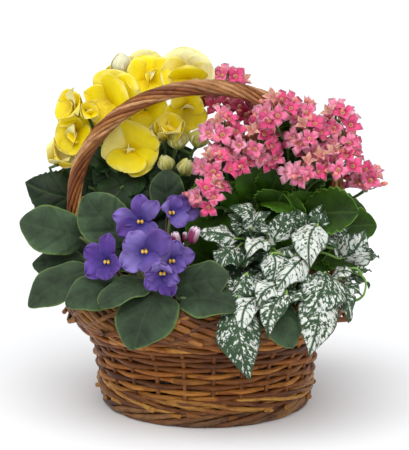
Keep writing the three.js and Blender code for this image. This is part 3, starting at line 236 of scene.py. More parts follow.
def randing_tree():
    """One weaver that winds up the wall, and the stakes that it weaves round."""
    tree, given, out = node_tree("randing", {
        "Stakes": "Int", "Courses": "Float", "Bottom": "Float", "Top": "Float", "Rod Radius": "Float",
        "Stake Radius": "Float", "Depth": "Float", "Seed": "Int", "Weaver": "Material", "Stake": "Material"})
    per_turn = add(tree, "Math MULTIPLY", {0: given["Stakes"], 1: WEAVER_STEPS})
    count = add(tree, "Math MULTIPLY", {0: per_turn, 1: given["Courses"]})
    index = add(tree, "InputIndex")
    turns = add(tree, "Math DIVIDE", {0: index, 1: per_turn})
    angle = add(tree, "Math MULTIPLY", {0: turns, 1: 2 * math.pi})
    share = add(tree, "Math DIVIDE", {0: turns, 1: given["Courses"]})
    z = add(tree, "MapRange", {0: share, 3: given["Bottom"], 4: given["Top"]})
    outside = wall_radius(tree, z)
    inset = add(tree, "Math", {0: given["Rod Radius"], 1: given["Depth"]})
    middle = add(tree, "Math SUBTRACT", {0: outside, 1: inset})
    half = add(tree, "Math MULTIPLY", {0: given["Stakes"], 1: 0.5})
    sway = add(tree, "Math MULTIPLY", {0: angle, 1: half})
    sway = add(tree, "Math COSINE", {0: sway})
    bow = add(tree, "Math MULTIPLY_ADD", {0: sway, 1: given["Depth"], 2: middle})
    lift = add(tree, "Math", {0: z, 1: wobble(tree, turns, 11.0, 0.0016, "1D")})
    line = add(tree, "MeshLine", {"Count": count})
    wound = add(tree, "SetPosition", {"Geometry": line, "Position": ring_place(tree, angle, bow, lift)})
    run = add(tree, "Math MULTIPLY", {0: turns, 1: RODS_PER_TURN})
    step = add(tree, "Math FLOOR", {0: run})
    step = add(tree, "FloatToInt", {0: step})
    shade = add(tree, "RandomValue", {"ID": step, "Seed": given["Seed"]}, 1)
    shade = add(tree, "Math", {0: shade, 1: wobble(tree, turns, 4.0, 0.25, "1D")})
    shade = add(tree, "Clamp", {0: shade})
    dyed = add(tree, "StoreNamedAttribute", {"Geometry": wound, "Name": "rod", "Value": shade})
    curve = add(tree, "MeshToCurve", {"Mesh": dyed})
    # a rod is thick at its butt and thin at its tip
    taper = add(tree, "Math MODULO", {0: run, 1: 1.0})
    taper = add(tree, "MapRange", {0: taper, 3: 1.08, 4: 0.86})
    thick = add(tree, "Math MULTIPLY", {0: given["Rod Radius"], 1: taper})
    kept = add(tree, "StoreNamedAttribute", {"Geometry": curve, "Name": "girth", "Value": thick})
    girth = add(tree, "InputNamedAttribute", {"Name": "girth"})
    weaver = dressed(tree, rod_skin(tree, kept, girth, 8), given["Weaver"])
    # stakes stand half way between the rods that pass in front and behind
    share = add(tree, "Math DIVIDE", {0: add(tree, "InputIndex"), 1: STAKE_POINTS - 1.0})
    z = add(tree, "MapRange", {0: share, 3: given["Bottom"], 4: given["Top"]})
    middle = add(tree, "Math SUBTRACT", {0: wall_radius(tree, z), 1: inset})
    place = add(tree, "CombineXYZ", {0: middle, 2: z})
    line = add(tree, "MeshLine", {"Count": STAKE_POINTS})
    upright = add(tree, "SetPosition", {"Geometry": line, "Position": place})
    curve = add(tree, "MeshToCurve", {"Mesh": upright})
    stake = rod_skin(tree, curve, given["Stake Radius"], 8)
    spots = add(tree, "MeshLine", {"Count": given["Stakes"], "Offset": (0.0, 0.0, 0.0)})
    place = add(tree, "Math MULTIPLY", {0: add(tree, "InputIndex"), 1: 2 * math.pi})
    place = add(tree, "Math DIVIDE", {0: place, 1: given["Stakes"]})
    turned = add(tree, "AxisAngleToRotation", {"Axis": (0.0, 0.0, 1.0), "Angle": place})
    stakes = add(tree, "InstanceOnPoints", {"Points": spots, "Instance": stake, "Rotation": turned})
    own = add(tree, "RandomValue", {"Seed": given["Seed"]}, 1)
    stakes = add(tree, "StoreNamedAttribute", {"Geometry": stakes, "Name": "rod", "Value": own},
                 domain="INSTANCE")
    both = add(tree, "JoinGeometry")
    feed(tree, both, {0: dressed(tree, stakes, given["Stake"])})
    feed(tree, both, {0: weaver})
    feed(tree, out, {0: both})
    return tree


def grown(name, source, tree, values):
    """Runs a tree on a source mesh and gives back the result as a plain mesh object."""
    maker = stand("maker", source)
    modifier = maker.modifiers.new("tree", "NODES")
    modifier.node_group = tree
    for item in tree.interface.items_tree:
        if item.name in values:
            modifier[item.identifier] = values[item.name]
    bpy.context.view_layer.update()
    mesh = bpy.data.meshes.new_from_object(maker.evaluated_get(bpy.context.evaluated_depsgraph_get()))
    bpy.data.objects.remove(maker)
    mesh.name = name
    for spare in [a.name for a in mesh.attributes if a.name in ("girth", "aim", "spin", "size")]:
        mesh.attributes.remove(mesh.attributes[spare])
    return stand(name, mesh)


def settle(piece, slot, *nodes):
    """The piece rides on the basket and stands for its CAD nodes. slot is not used."""
    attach(piece, "root")
    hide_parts(*nodes)


# boiled willow rods under thin varnish: warm browns that change from rod to rod, with a dull shine
weaver_willow = willow("brown_willow_weavers",
                       ["#562f0e", "#7a4413", "#955717", "#aa6822", "#c08434", "#804a15"])
# the stakes are of darker and more even rods
stake_willow = willow("brown_willow_stakes", ["#5c3014", "#80491d", "#99602c"])
wall = grown("woven_wall", bpy.data.meshes.new("empty"), randing_tree(), {
    "Stakes": 25, "Courses": 12.0, "Bottom": 0.0195, "Top": 0.0905, "Rod Radius": 0.00275,
    "Stake Radius": 0.0023, "Depth": 0.0023, "Seed": 4, "Weaver": weaver_willow, "Stake": stake_willow})
settle(wall, "willow", "basket_wall")

# ------------------------------------------------------------------ borders and handle
# The stakes are turned down into a plaited border at the rim, thick rods are plaited round the
# foot, and the bow handle is rods twisted round each other. All are ropes of rods on a line.
def rope_tree():
    """Rods that wind side by side round a line, on an oval section."""
    tree, given, out = node_tree("rods_round_a_line", {
        "Rods": "Int", "Turns": "Float", "Across": "Vector", "Half Width": "Float", "Half Height": "Float",
        "Rod Radius": "Float", "Wander": "Float", "Swell": "Float", "Seed": "Int", "Caps": "Bool",
        "Willow": "Material"})
    curve = add(tree, "MeshToCurve", {"Mesh": given["Geometry"]})
    copies = add(tree, "DuplicateElements", {"Geometry": curve, "Amount": given["Rods"]}, domain="SPLINE")
    count = copies.outputs["Duplicate Index"]
    number = add(tree, "StoreNamedAttribute", {"Geometry": copies, "Name": "number", "Value": count},
                 domain="CURVE")
    factor = add(tree, "SplineParameter", take="Factor")
    kept = add(tree, "StoreNamedAttribute", {"Geometry": number, "Name": "share", "Value": factor})
    rod_number = add(tree, "InputNamedAttribute", {"Name": "number"})
    share = add(tree, "InputNamedAttribute", {"Name": "share"})
    start = add(tree, "Math DIVIDE", {0: rod_number, 1: given["Rods"]})
    turned = add(tree, "Math MULTIPLY_ADD", {0: share, 1: given["Turns"], 2: start})
    # noise on a circle, so that a closed border meets itself
    circle = add(tree, "Math MULTIPLY", {0: share, 1: 2 * math.pi})
    ring = ring_place(tree, circle, 1.0, rod_number)
    seeded = add(tree, "VectorMath SCALE", {0: (3.1, 1.7, 9.3), "Scale": given["Seed"]})
    ring = add(tree, "VectorMath", {0: ring, 1: seeded})
    stray = add(tree, "Math MULTIPLY_ADD", {0: wobble(tree, ring, 3.0, 1.0), 1: given["Wander"], 2: turned})
    phase = add(tree, "Math MULTIPLY", {0: stray, 1: 2 * math.pi})
    tangent = add(tree, "InputTangent")
    inward = add(tree, "VectorMath CROSS_PRODUCT", {0: given["Across"], 1: tangent})
    inward = add(tree, "VectorMath NORMALIZE", {0: inward})
    bulge = add(tree, "Math MULTIPLY", {0: share, 1: math.pi})
    bulge = add(tree, "Math SINE", {0: bulge})
    bulge = add(tree, "Math MULTIPLY_ADD", {0: bulge, 1: given["Swell"], 2: 1.0})
    wide = add(tree, "Math SUBTRACT", {0: given["Half Width"], 1: given["Rod Radius"]})
    tall = add(tree, "Math SUBTRACT", {0: given["Half Height"], 1: given["Rod Radius"]})
    wide = add(tree, "Math MULTIPLY", {0: wide, 1: bulge})
    tall = add(tree, "Math MULTIPLY", {0: tall, 1: bulge})
    depth = add(tree, "Math", {0: 1.0, 1: wobble(tree, ring, 5.0, 0.16)})
    cosine = add(tree, "Math COSINE", {0: phase})
    cosine = add(tree, "Math MULTIPLY", {0: cosine, 1: depth})
    sine = add(tree, "Math SINE", {0: phase})
    wide = add(tree, "Math MULTIPLY", {0: cosine, 1: wide})
    tall = add(tree, "Math MULTIPLY", {0: sine, 1: tall})
    one = add(tree, "VectorMath SCALE", {0: inward, "Scale": wide})
    two = add(tree, "VectorMath SCALE", {0: given["Across"], "Scale": tall})
    both = add(tree, "VectorMath", {0: one, 1: two})
    wound = add(tree, "SetPosition", {"Geometry": kept, "Offset": both})
    number = add(tree, "FloatToInt", {0: rod_number})
    shade = add(tree, "RandomValue", {"ID": number, "Seed": given["Seed"]}, 1)
    shade = add(tree, "Math", {0: shade, 1: wobble(tree, ring, 2.0, 0.3)})
    shade = add(tree, "Clamp", {0: shade})
    dyed = add(tree, "StoreNamedAttribute", {"Geometry": wound, "Name": "rod", "Value": shade})
    thick = add(tree, "Math", {0: 1.0, 1: wobble(tree, ring, 2.5, 0.14)})
    thick = add(tree, "Math MULTIPLY", {0: thick, 1: given["Rod Radius"]})
    thick = add(tree, "Math MULTIPLY", {0: thick, 1: bulge})
    sized = add(tree, "StoreNamedAttribute", {"Geometry": dyed, "Name": "girth", "Value": thick})
    girth = add(tree, "InputNamedAttribute", {"Name": "girth"})
    rods = rod_skin(tree, sized, girth, 9, given["Caps"])
    feed(tree, out, {0: dressed(tree, rods, given["Willow"])})
    return tree


def line_mesh(points, closed):
    """A mesh of edges along a row of points, for a tree to follow."""
    mesh = bpy.data.meshes.new("line")
    count = len(points)
    edges = [(i, (i + 1) % count) for i in range(count if closed else count - 1)]
    mesh.from_pydata([tuple(p) for p in points], edges, [])
    return mesh


def hoop(radius, height, count=288):
    """Points round the basket's axis."""
    turn = np.linspace(0, 2 * np.pi, count, endpoint=False)
    return np.stack([radius * np.cos(turn), radius * np.sin(turn), np.full(count, height)], 1)


def handle_line():
    """The bow: up one leg from inside the rim, over the arch and down the other leg."""
    leg, spread, rise, spring, foot, count = 0.106, 0.131, 0.112, 0.203, 0.0973, 260
    arch = 0.5 * math.pi * (spread + rise)
    points = []
    for run in np.linspace(0, 2 * leg + arch, count):
        if run < leg:
            points.append((-spread, 0, foot + run))
        elif run > leg + arch:
            points.append((spread, 0, spring - (run - leg - arch)))
        else:
            turn = math.pi * (1 - (run - leg) / arch)
            points.append((spread * math.cos(turn), 0, spring + rise * math.sin(turn)))
    return points


rope = rope_tree()
# varnished willow as in the wall, in deeper browns that make the rim read as one dark band: partly the rods'
# own colour, partly painted shade for the shadow that the leaves cast on the rim
shaded_rim_rods = willow("rim_rods_with_painted_shade", ["#42240b", "#6b3a10", "#855119", "#a06b2b", "#764213"])
# old bare willow, worn and greyed by standing, so that it has no shine
foot_willow = willow("old_willow_foot", ["#38200f", "#7a4d2c", "#9a7044", "#50301a", "#ab845a"], 0.5)
# straw-coloured willow, which makes a light line above the foot
straw_willow = willow("pale_willow_wale", ["#6d3d1a", "#a86f2c", "#c79443", "#8a5526", "#b98439"])
# rods rubbed smooth by hands: they shine most, and pale ones run beside dark ones
handle_willow = willow("brown_willow_handle", ["#3a1a0a", "#85481f", "#a3672f", "#cf9d6c", "#6b371a"], 0.3)
handle_values = {
    "Rods": 10, "Turns": 4.0, "Across": (0.0, 1.0, 0.0), "Half Width": 0.0071, "Half Height": 0.0071,
    "Rod Radius": 0.0018, "Wander": 0.008, "Swell": 0.12, "Seed": 2, "Caps": True, "Willow": handle_willow}
handle = grown("twisted_handle", line_mesh(handle_line(), False), rope, handle_values)
settle(handle, "willow", "handle")
# for each rope round the basket: the ring's radius and height, rods, turns, half width, half height,
# rod radius, wander and seed
for name, node, slot, material, radius, height, *sizes in (
        # the rim's rods take the willow with painted shade from the leaves above
        ("plaited_rim", "rim_border", "willow", shaded_rim_rods,
         0.1304, 0.1046, 12, 4.0, 0.0112, 0.0164, 0.0031, 0.02, 3),
        ("rods_across_the_rim", "rim_border", "willow", shaded_rim_rods,
         0.1304, 0.1046, 5, -5.0, 0.0112, 0.0164, 0.0027, 0.05, 12),
        ("rim_core", "rim_border", "dark_willow", foot_willow,
         0.1304, 0.1046, 3, 5.0, 0.0072, 0.0122, 0.0055, 0.0, 8),
        ("rods_under_the_rim", "rim_border", "willow", weaver_willow,
         0.1272, 0.0875, 4, 6.0, 0.005, 0.0085, 0.0026, 0.05, 5),
        ("plaited_foot", "foot_border", "dark_willow", foot_willow,
         0.1016, 0.0087, 5, -4.0, 0.0058, 0.0089, 0.0031, 0.07, 6),
        ("straw_coloured_wale", "foot_border", "dark_willow", straw_willow,
         0.1068, 0.0215, 5, 4.0, 0.0034, 0.0075, 0.0022, 0.08, 9)):
    labels = ("Rods", "Turns", "Half Width", "Half Height", "Rod Radius", "Wander", "Seed")
    piece = grown(name, line_mesh(hoop(radius, height), True), rope, {
        **dict(zip(labels, sizes)), "Across": (0.0, 0.0, 1.0), "Swell": 0.0, "Caps": False, "Willow": material})
    settle(piece, slot, node)


def cut_ends_tree():
    """Short cut ends of rods that poke out between the rods of a border, each its own way."""
    tree, given, out = node_tree("cut_ends", {
        "Length": "Float", "Rod Radius": "Float", "Seed": "Int", "Willow": "Material"})
    line = add(tree, "MeshLine", {"Count": 4, "Offset": (0.0, 0.0, 1.0)})
    along = add(tree, "VectorMath SCALE", {0: add(tree, "InputPosition"), "Scale": given["Length"]})
    sized = add(tree, "SetPosition", {"Geometry": line, "Position": along})
    curve = add(tree, "MeshToCurve", {"Mesh": sized})
    stub = rod_skin(tree, curve, given["Rod Radius"], 9)
    aim = add(tree, "InputNamedAttribute", {"Name": "aim"}, data_type="FLOAT_VECTOR")
    turned = add(tree, "AlignRotationToVector", {"Vector": aim}, axis="Z")
    size = add(tree, "RandomValue", {2: 0.75, 3: 1.15, "Seed": given["Seed"]}, 1)
    stubs = add(tree, "InstanceOnPoints",
                {"Points": given["Geometry"], "Instance": stub, "Rotation": turned, "Scale": size})
    own = add(tree, "RandomValue", {"Seed": given["Seed"]}, 1)
    dyed = add(tree, "StoreNamedAttribute", {"Geometry": stubs, "Name": "rod", "Value": own}, domain="INSTANCE")
    feed(tree, out, {0: dressed(tree, dyed, given["Willow"])})
    return tree


def mark(mesh, label, values):
    """Keeps a number or a direction for each point of a mesh under a name."""
    values = np.asarray(values, np.float32)
    kind, field = ("FLOAT", "value") if values.ndim == 1 else ("FLOAT_VECTOR", "vector")
    mesh.attributes.new(label, kind, "POINT").data.foreach_set(field, values.reshape(-1))


def end_spots(radius, height, count, down, seed):
    """Points round the basket where rods end, and the way each end lies along the border."""
    dice = random.Random(seed)
    points, ways = [], []
    for k in range(count):
        a = 2 * math.pi * (k + dice.uniform(-0.3, 0.3)) / count
        c, d = math.cos(a), math.sin(a)
        points.append((radius * c, radius * d, height + dice.uniform(-0.002, 0.002)))
        out, on = dice.uniform(0.25, 0.7), dice.choice((-1, 1))
        ways.append((out * c - on * d, out * d + on * c, down * dice.uniform(0.2, 1)))
    mesh = bpy.data.meshes.new("ends")
    mesh.from_pydata(points, [], [])
    mark(mesh, "aim", ways)
    return mesh


ends = cut_ends_tree()
# for each border: a third of the ends' length, then the ring's radius and height, ends, dip and seed
for border, slot, material, length, *ring in (
        # the rim's cut ends take the same willow with painted shade
        ("rim", "willow", shaded_rim_rods, 0.0042, 0.1385, 0.096, 26, -0.5, 1),
        ("foot", "dark_willow", straw_willow, 0.0045, 0.1045, 0.0125, 20, 0.35, 2)):
    piece = grown("cut_ends_at_the_" + border, end_spots(*ring), ends, {
        "Length": length, "Rod Radius": 0.0024, "Seed": 3, "Willow": material})
    settle(piece, slot, border + "_border")

# ------------------------------------------------------------------ liner, pots and soil
# A black film liner keeps the basket dry. The four plants stand in it in their thin brown nursery
# pots, filled to just under the rim with moist peat, crumbly on top.
def plain_finish(name, dark, light, scale, rough, bump_mm, **settings):
    """A matt material whose tone and surface vary with one noise, scale given in patches a metre."""
    material, tree, shader = finish(name)
    place = add(tree, "TexCoord", take="Object")
    noise = add(tree, "TexNoise", {"Vector": place, "Scale": scale, "Detail": 5.0, "Roughness": 0.6})
    tone = add(tree, "Mix", {0: noise, 6: linear(dark), 7: linear(light)}, 2, data_type="RGBA")
    bump = add(tree, "Bump", {"Strength": 0.6, "Distance": bump_mm / 1000, "Height": noise})
    feed(tree, shader, {"Base Color": tone, "Normal": bump, "Roughness": rough, **settings})
    return material


def carry(node, material):
    """A CAD node that keeps its own shape and gets its real material."""
    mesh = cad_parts[node].data
    mesh.materials.clear()
    mesh.materials.append(material)


# blown polythene film: black, with a soft oily shine in its creases
carry("liner", plain_finish("black_polythene_film", "#101211", "#2a2d2b", 220, 0.38, 0.5))
# woven bare willow, dry and without shine, that only shows from below
carry("basket_base", plain_finish("willow_base_board", "#4a2c18", "#7d4f2b", 160, 0.7, 0.4))
for plant in ("begonia", "kalanchoe", "violet", "polkadot"):
    # thin moulded polypropylene: an even earthen brown with a satin skin
    carry("pot_" + plant, plain_finish("brown_polypropylene_pot", "#7a3d29", "#95523a", 90, 0.5, 0.1))
    # wet peat: nearly black, rough and dull
    carry("soil_" + plant, plain_finish("moist_peat", "#17100b", "#4a3626", 420, 0.95, 1.5))


def crumb_tree():
    """Crumbs of peat and bark scattered over the top faces of a mesh."""
    tree, given, out = node_tree("peat_crumbs", {
        "Density": "Float", "Smallest": "Float", "Largest": "Float", "Seed": "Int", "Peat": "Material"})
    spots = add(tree, "DistributePointsOnFaces",
                {"Mesh": given["Geometry"], "Density": given["Density"], "Seed": given["Seed"]})
    crumb = add(tree, "MeshIcoSphere", {"Radius": 1.0, "Subdivisions": 1})
    size = {2: given["Smallest"], 3: given["Largest"], "Seed": given["Seed"]}
    size = add(tree, "RandomValue", size, 1)
    squash = add(tree, "RandomValue", {0: (0.6, 0.6, 0.4), 1: (1.5, 1.2, 0.9), "Seed": 5},
                 data_type="FLOAT_VECTOR")
    scale = add(tree, "VectorMath SCALE", {0: squash, "Scale": size})
    spin = add(tree, "RandomValue", {0: (0.0, 0.0, 0.0), 1: (3.1, 3.1, 3.1), "Seed": 6},
               data_type="FLOAT_VECTOR")
    spin = add(tree, "EulerToRotation", {0: spin})
    crumbs = add(tree, "InstanceOnPoints",
                 {"Points": spots, "Instance": crumb, "Rotation": spin, "Scale": scale})
    feed(tree, out, {0: dressed(tree, crumbs, given["Peat"])})
    return tree


crumbs = crumb_tree()
# crumbs of bark among the peat: brown specks that break up the dark surface
bark = plain_finish("bark_and_peat_crumbs", "#1d130c", "#6b4b30", 260, 0.9, 0.6)
# the pots stand on the corners of a square; the soil's top is a disc inside each
FROM_MIDDLE, SOIL_RADIUS, SOIL_TOP = 0.044, 0.034, 0.0795
for plant, across, back in (("begonia", -1, 1), ("kalanchoe", 1, 1), ("violet", -1, -1), ("polkadot", 1, -1)):
    disc = bpy.data.meshes.new("disc")
    middle = np.array([across * FROM_MIDDLE, back * FROM_MIDDLE, 0])
    disc.from_pydata([tuple(p) for p in hoop(SOIL_RADIUS, SOIL_TOP, 24) + middle], [], [range(24)])
    piece = grown("peat_crumbs_" + plant, disc, crumbs, {
        "Density": 60000.0, "Smallest": 0.0012, "Largest": 0.0032, "Seed": 3, "Peat": bark})
    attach(piece, "root")

# ------------------------------------------------------------------ African violet
# A rosette of thick downy leaves on fleshy stalks, with blue-violet blooms of five petals and two
# yellow anthers, each on a thin hairy stalk from the crown.
MM = 0.001  # the plants are drawn in millimetres
UP = np.array([0, 0, 1.0])


def unit(a):
    """The vector at length one."""
    return a / np.linalg.norm(a)


def facing(azimuth, elevation):
    """A direction: azimuth 0 towards the viewer and turning to the right, elevation upwards."""
    a, e = math.radians(azimuth), math.radians(elevation)
    return np.array([math.sin(a) * math.cos(e), -math.cos(a) * math.cos(e), math.sin(e)])


def smooth_line(points, count):
    """Points evenly spread along the smooth curve through a few points."""
    p = np.asarray(points, float)
    p = np.vstack([2 * p[0] - p[1], p, 2 * p[-1] - p[-2]])
    fine = []
    for k in range(1, len(p) - 2):
        t = np.linspace(0, 1, 24, endpoint=False)[:, None]
        a, b, c, d = p[k - 1], p[k], p[k + 1], p[k + 2]
        bend = (2 * a - 5 * b + 4 * c - d) * t ** 2 + (3 * b - a - 3 * c + d) * t ** 3
        fine.append(0.5 * (2 * b + (c - a) * t + bend))
    fine = np.vstack(fine + [p[-2:-1]])
    run = np.concatenate([[0], np.cumsum(np.linalg.norm(np.diff(fine, axis=0), axis=1))])
    want = np.linspace(0, run[-1], count)
    return np.stack([np.interp(want, run, fine[:, k]) for k in range(fine.shape[1])], 1)


def blade(grid, thick, **marks):
    """A thin closed body round a grid of points: front, back and edge. marks are kept per point."""
    down = np.gradient(grid, axis=0)
    across = np.gradient(grid, axis=1)
    normal = np.cross(down, across)
    normal /= np.linalg.norm(normal, axis=2, keepdims=True) + 1e-12
    rows, columns = grid.shape[:2]
    half = np.broadcast_to(np.asarray(thick, float), (rows, columns))[..., None] / 2
    points = np.concatenate([(grid + normal * half).reshape(-1, 3), (grid - normal * half).reshape(-1, 3)])
    number = np.arange(rows * columns).reshape(rows, columns)
    a, b, c, d = number[:-1, :-1], number[1:, :-1], number[1:, 1:], number[:-1, 1:]
    front = np.stack([a, b, c, d], -1).reshape(-1, 4)
    rim = np.concatenate([number[0, :-1], number[:-1, -1], number[-1, :0:-1], number[:0:-1, 0]])
    after = np.roll(rim, -1)
    back = rows * columns
    faces = np.concatenate([front, front[:, ::-1] + back, np.stack([rim, after, after + back, rim + back], 1)])
    kept = {name: np.tile(np.broadcast_to(value, (rows, columns)).reshape(-1), 2)
            for name, value in marks.items()}
    return {"points": points, "faces": faces, "finish": 0, "marks": kept}


def shoot(points, radii, sides, finish_number, count=None, **marks):
    """A closed round body along a line, its radii spread evenly from end to end."""
    path = smooth_line(points, count or max(4, 4 * len(points)))
    n = len(path)
    radius = np.interp(np.linspace(0, 1, n), np.linspace(0, 1, len(radii)), radii)
    ahead = np.gradient(path, axis=0)
    ahead /= np.linalg.norm(ahead, axis=1, keepdims=True)
    side = unit(np.cross(ahead[0], [0.3, 1.0, 0.2]))
    rings = []
    turn = np.linspace(0, 2 * np.pi, sides, endpoint=False)[:, None]
    for k in range(n):
        side = unit(side - ahead[k] * np.dot(side, ahead[k]))
        up = np.cross(ahead[k], side)
        rings.append(path[k] + radius[k] * (np.cos(turn) * side + np.sin(turn) * up))
    points = np.concatenate(rings + [path[:1], path[-1:]])
    k, s = np.meshgrid(np.arange(n - 1) * sides, np.arange(sides), indexing="ij")
    t = (s + 1) % sides
    faces = np.stack([k + s, k + t, k + sides + t, k + sides + s], -1).reshape(-1, 4)
    s = np.arange(sides)
    t = (s + 1) % sides
    first, last = n * sides, n * sides + 1
    caps = np.concatenate([np.stack([t, s, np.full(sides, first)], 1),
                           np.stack([s + (n - 1) * sides, t + (n - 1) * sides, np.full(sides, last)], 1)])
    run = np.repeat(np.linspace(0, 1, n), sides)
    kept = {"reach": np.concatenate([run, [0, 1]])}
    kept.update({name: np.full(len(points), float(value)) for name, value in marks.items()})
    return {"points": points, "faces": faces, "caps": caps, "finish": finish_number, "marks": kept}


def assemble(name, parts, finishes, slot, *nodes):
    """One mesh object from many closed bodies, settled in the basket in place of its CAD nodes."""
    start, corners, sizes, finish_numbers = 0, [], [], []
    labels = sorted({label for part in parts for label in part["marks"]})
    marks = {label: [] for label in labels}
    for part in parts:
        for faces in (part["faces"], part.get("caps")):
            if faces is not None and len(faces):
                corners.append((faces + start).reshape(-1))
                sizes.append(np.full(len(faces), faces.shape[1]))
                finish_numbers.append(np.full(len(faces), part["finish"]))
        for label in labels:
            marks[label].append(part["marks"].get(label, np.zeros(len(part["points"]))))
        start += len(part["points"])
    points = np.concatenate([part["points"] for part in parts]) * MM
    corners, sizes = np.concatenate(corners), np.concatenate(sizes)
    mesh = bpy.data.meshes.new(name)
    mesh.vertices.add(len(points))
    mesh.vertices.foreach_set("co", points.astype(np.float32).reshape(-1))
    mesh.loops.add(len(corners))
    mesh.loops.foreach_set("vertex_index", corners.astype(np.int32))
    mesh.polygons.add(len(sizes))
    mesh.polygons.foreach_set("loop_start", np.concatenate([[0], np.cumsum(sizes)[:-1]]).astype(np.int32))
    mesh.polygons.foreach_set("material_index", np.concatenate(finish_numbers).astype(np.int32))
    mesh.polygons.foreach_set("use_smooth", np.ones(len(sizes), bool))
    for label in labels:
        mark(mesh, label, np.concatenate(marks[label]))
    for material in finishes:
        mesh.materials.append(material)
    mesh.update(calc_edges=True)
    mesh.validate()
    piece = stand(name, mesh)
    settle(piece, slot, *nodes)
    return piece


def leaf(base, tip, face, width, arch, tint, outline, rows, columns, cup, wave, waves, crease, thick, teeth,
         tooth_count, curl, lean, fold=0.0, cup_spread=0.1):
    """A leaf blade between its base and tip. The outline gives [share along, share of half width]."""
    dice = random.Random(round(sum(base) * 7 + sum(tip)))
    base, tip = np.array(base, float), np.array(tip, float)
    length = np.linalg.norm(tip - base)
    along = (tip - base) / length
    side = unit(np.cross(along, facing(*face)))
    normal = np.cross(side, along)
    line = smooth_line(outline, rows)
    t = np.clip(line[:, 0], 0, 1)[:, None]
    half = width / 2 * np.clip(line[:, 1], 0.012, None)[:, None]
    s = np.linspace(-1, 1, columns)[None, :]
    phase = dice.uniform(0, 6.3)
    saw = teeth * np.abs(np.sin(math.pi * tooth_count * t)) * np.abs(s) ** 8
    x = s * half * (1 + saw * np.minimum(1, 4 * (1 - t)))
    bend = dice.uniform(-1, 1) * lean * length * t * (1 - t) * 0.35
    rise = (4 * arch * t * (1 - t) + (cup + dice.uniform(-1, 1) * cup_spread) * half * s ** 2
            - fold * np.sqrt(x ** 2 + 4)
            + wave * np.abs(s) ** 2.5 * np.sin(2 * math.pi * waves * t + phase + 1.3 * s)
            - crease * np.exp(-(x / 2) ** 2) * (1 - t) ** 0.5 - curl * length * np.clip(t - 0.55, 0, 1) ** 2)
    grid = (base + along * (length * t)[..., None] + side * (x + bend)[..., None]
            + normal * (rise + 0 * x)[..., None])
    thickness = thick * (0.55 + 0.45 * (1 - np.abs(s) ** 4)) * (0.7 + 0.3 * (1 - t))
    marks = {"across": x * MM, "along": length * t * MM + 0 * x,
             "edge": 1 - np.abs(s) + 0 * x, "reach": t + 0 * x}
    marks = {label: values[:, ::-1] for label, values in marks.items()}
    return blade(grid[:, ::-1], thickness[:, ::-1], tint=tint, **marks)


def leaf_stalk(base, tip, root, radius, sides=8, bow=5.0):
    """The stalk from a leaf's base to its root on the stem."""
    base, tip = np.array(base, float), np.array(tip, float)
    inside = base + unit(tip - base) * 4
    middle = (base + root) / 2 + UP * bow
    radii = [radius * 0.75, radius, radius, radius * 1.15]
    return shoot([inside, base, middle, root], radii, sides, 1, 12, tint=0.5)


def leaf_finish(name, face, vein, rim, spacing, slant, vein_share, rim_width, rough, quilt, settings):
    """A green leaf: side veins on a slant from the midrib, a paler rim, mottling and a raised quilt."""
    material, tree, shader = finish(name)
    across, along, edge, tint = (add(tree, "Attribute", take="Fac", attribute_name=label)
                                 for label in ("across", "along", "edge", "tint"))
    place = add(tree, "TexCoord", take="Object")
    off = add(tree, "Math ABSOLUTE", {0: across})
    # side veins leave the midrib forwards, one spacing apart, and bend a little towards the tip
    curve = add(tree, "Math POWER", {0: off, 1: 1.15})
    slid = add(tree, "Math MULTIPLY_ADD", {0: curve, 1: -slant * 2.1, 2: along})
    stray = add(tree, "TexNoise", {"Vector": place, "Scale": 90.0, "Detail": 2.0})
    slid = add(tree, "Math MULTIPLY_ADD", {0: stray, 1: 0.0035, 2: slid})
    cell = add(tree, "Math PINGPONG", {0: slid, 1: spacing})
    side_vein = add(tree, "MapRange", {0: cell, 1: 0.0001, 2: 0.0009, 3: 1.0, 4: 0.0})
    midrib = add(tree, "MapRange", {0: off, 1: 0.0004, 2: 0.0016, 3: 1.0, 4: 0.0})
    veins = add(tree, "Math MULTIPLY", {0: side_vein, 1: 0.6})
    veins = add(tree, "Math MAXIMUM", {0: veins, 1: midrib})
    mottle = add(tree, "TexNoise", {"Vector": place, "Scale": 70.0, "Detail": 5.0, "Roughness": 0.6})
    spread = add(tree, "MapRange", {0: mottle, 1: 0.3, 2: 0.7, 3: 0.6, 4: 1.4})
    # painted light and shade: each leaf is made lighter towards its rim and darker towards its midrib, as a
    # cupped leaf is lit at its rim and shaded in its hollow
    rim_light_midrib_shade = add(tree, "MapRange", {0: edge, 1: 0.0, 2: 0.7, 3: 1.3, 4: 0.74})
    spread = add(tree, "Math MULTIPLY", {0: spread, 1: rim_light_midrib_shade})
    # tint brightens or darkens a whole leaf: random tone on the begonia and kalanchoe, painted light and shade
    # on the violet's leaves
    own = add(tree, "MapRange", {0: tint, 3: 0.6, 4: 1.5})
    spread = add(tree, "Math MULTIPLY", {0: spread, 1: own})
    ground = add(tree, "VectorMath SCALE", {0: linear(face)[:3], "Scale": spread})
    much = add(tree, "Math MULTIPLY", {0: veins, 1: vein_share})
    veined = add(tree, "Mix", {0: much, 6: ground, 7: linear(vein)}, 2, data_type="RGBA")
    margin = add(tree, "MapRange", {0: edge, 1: 0.0, 2: rim_width, 3: 0.85, 4: 0.0})
    rimmed = add(tree, "Mix", {0: margin, 6: veined, 7: linear(rim)}, 2, data_type="RGBA")
    cells = add(tree, "TexVoronoi", {"Vector": place, "Scale": 1 / 0.0016, "Randomness": 0.9})
    fine = add(tree, "Math MULTIPLY", {0: cells, 1: 0.35})
    raised = add(tree, "MapRange", {0: cell, 1: 0.0, 2: spacing * 0.5, 3: 0.0, 4: 1.0})
    raised = add(tree, "Math SUBTRACT", {0: raised, 1: fine})
    bump = add(tree, "Bump", {"Strength": quilt, "Distance": 0.0009, "Height": raised})
    roughness = add(tree, "MapRange", {0: mottle, 1: 0.3, 2: 0.7, 3: rough - 0.06, 4: rough + 0.06})
    feed(tree, shader, {"Base Color": rimmed, "Normal": bump, "Roughness": roughness, **settings})
    return material


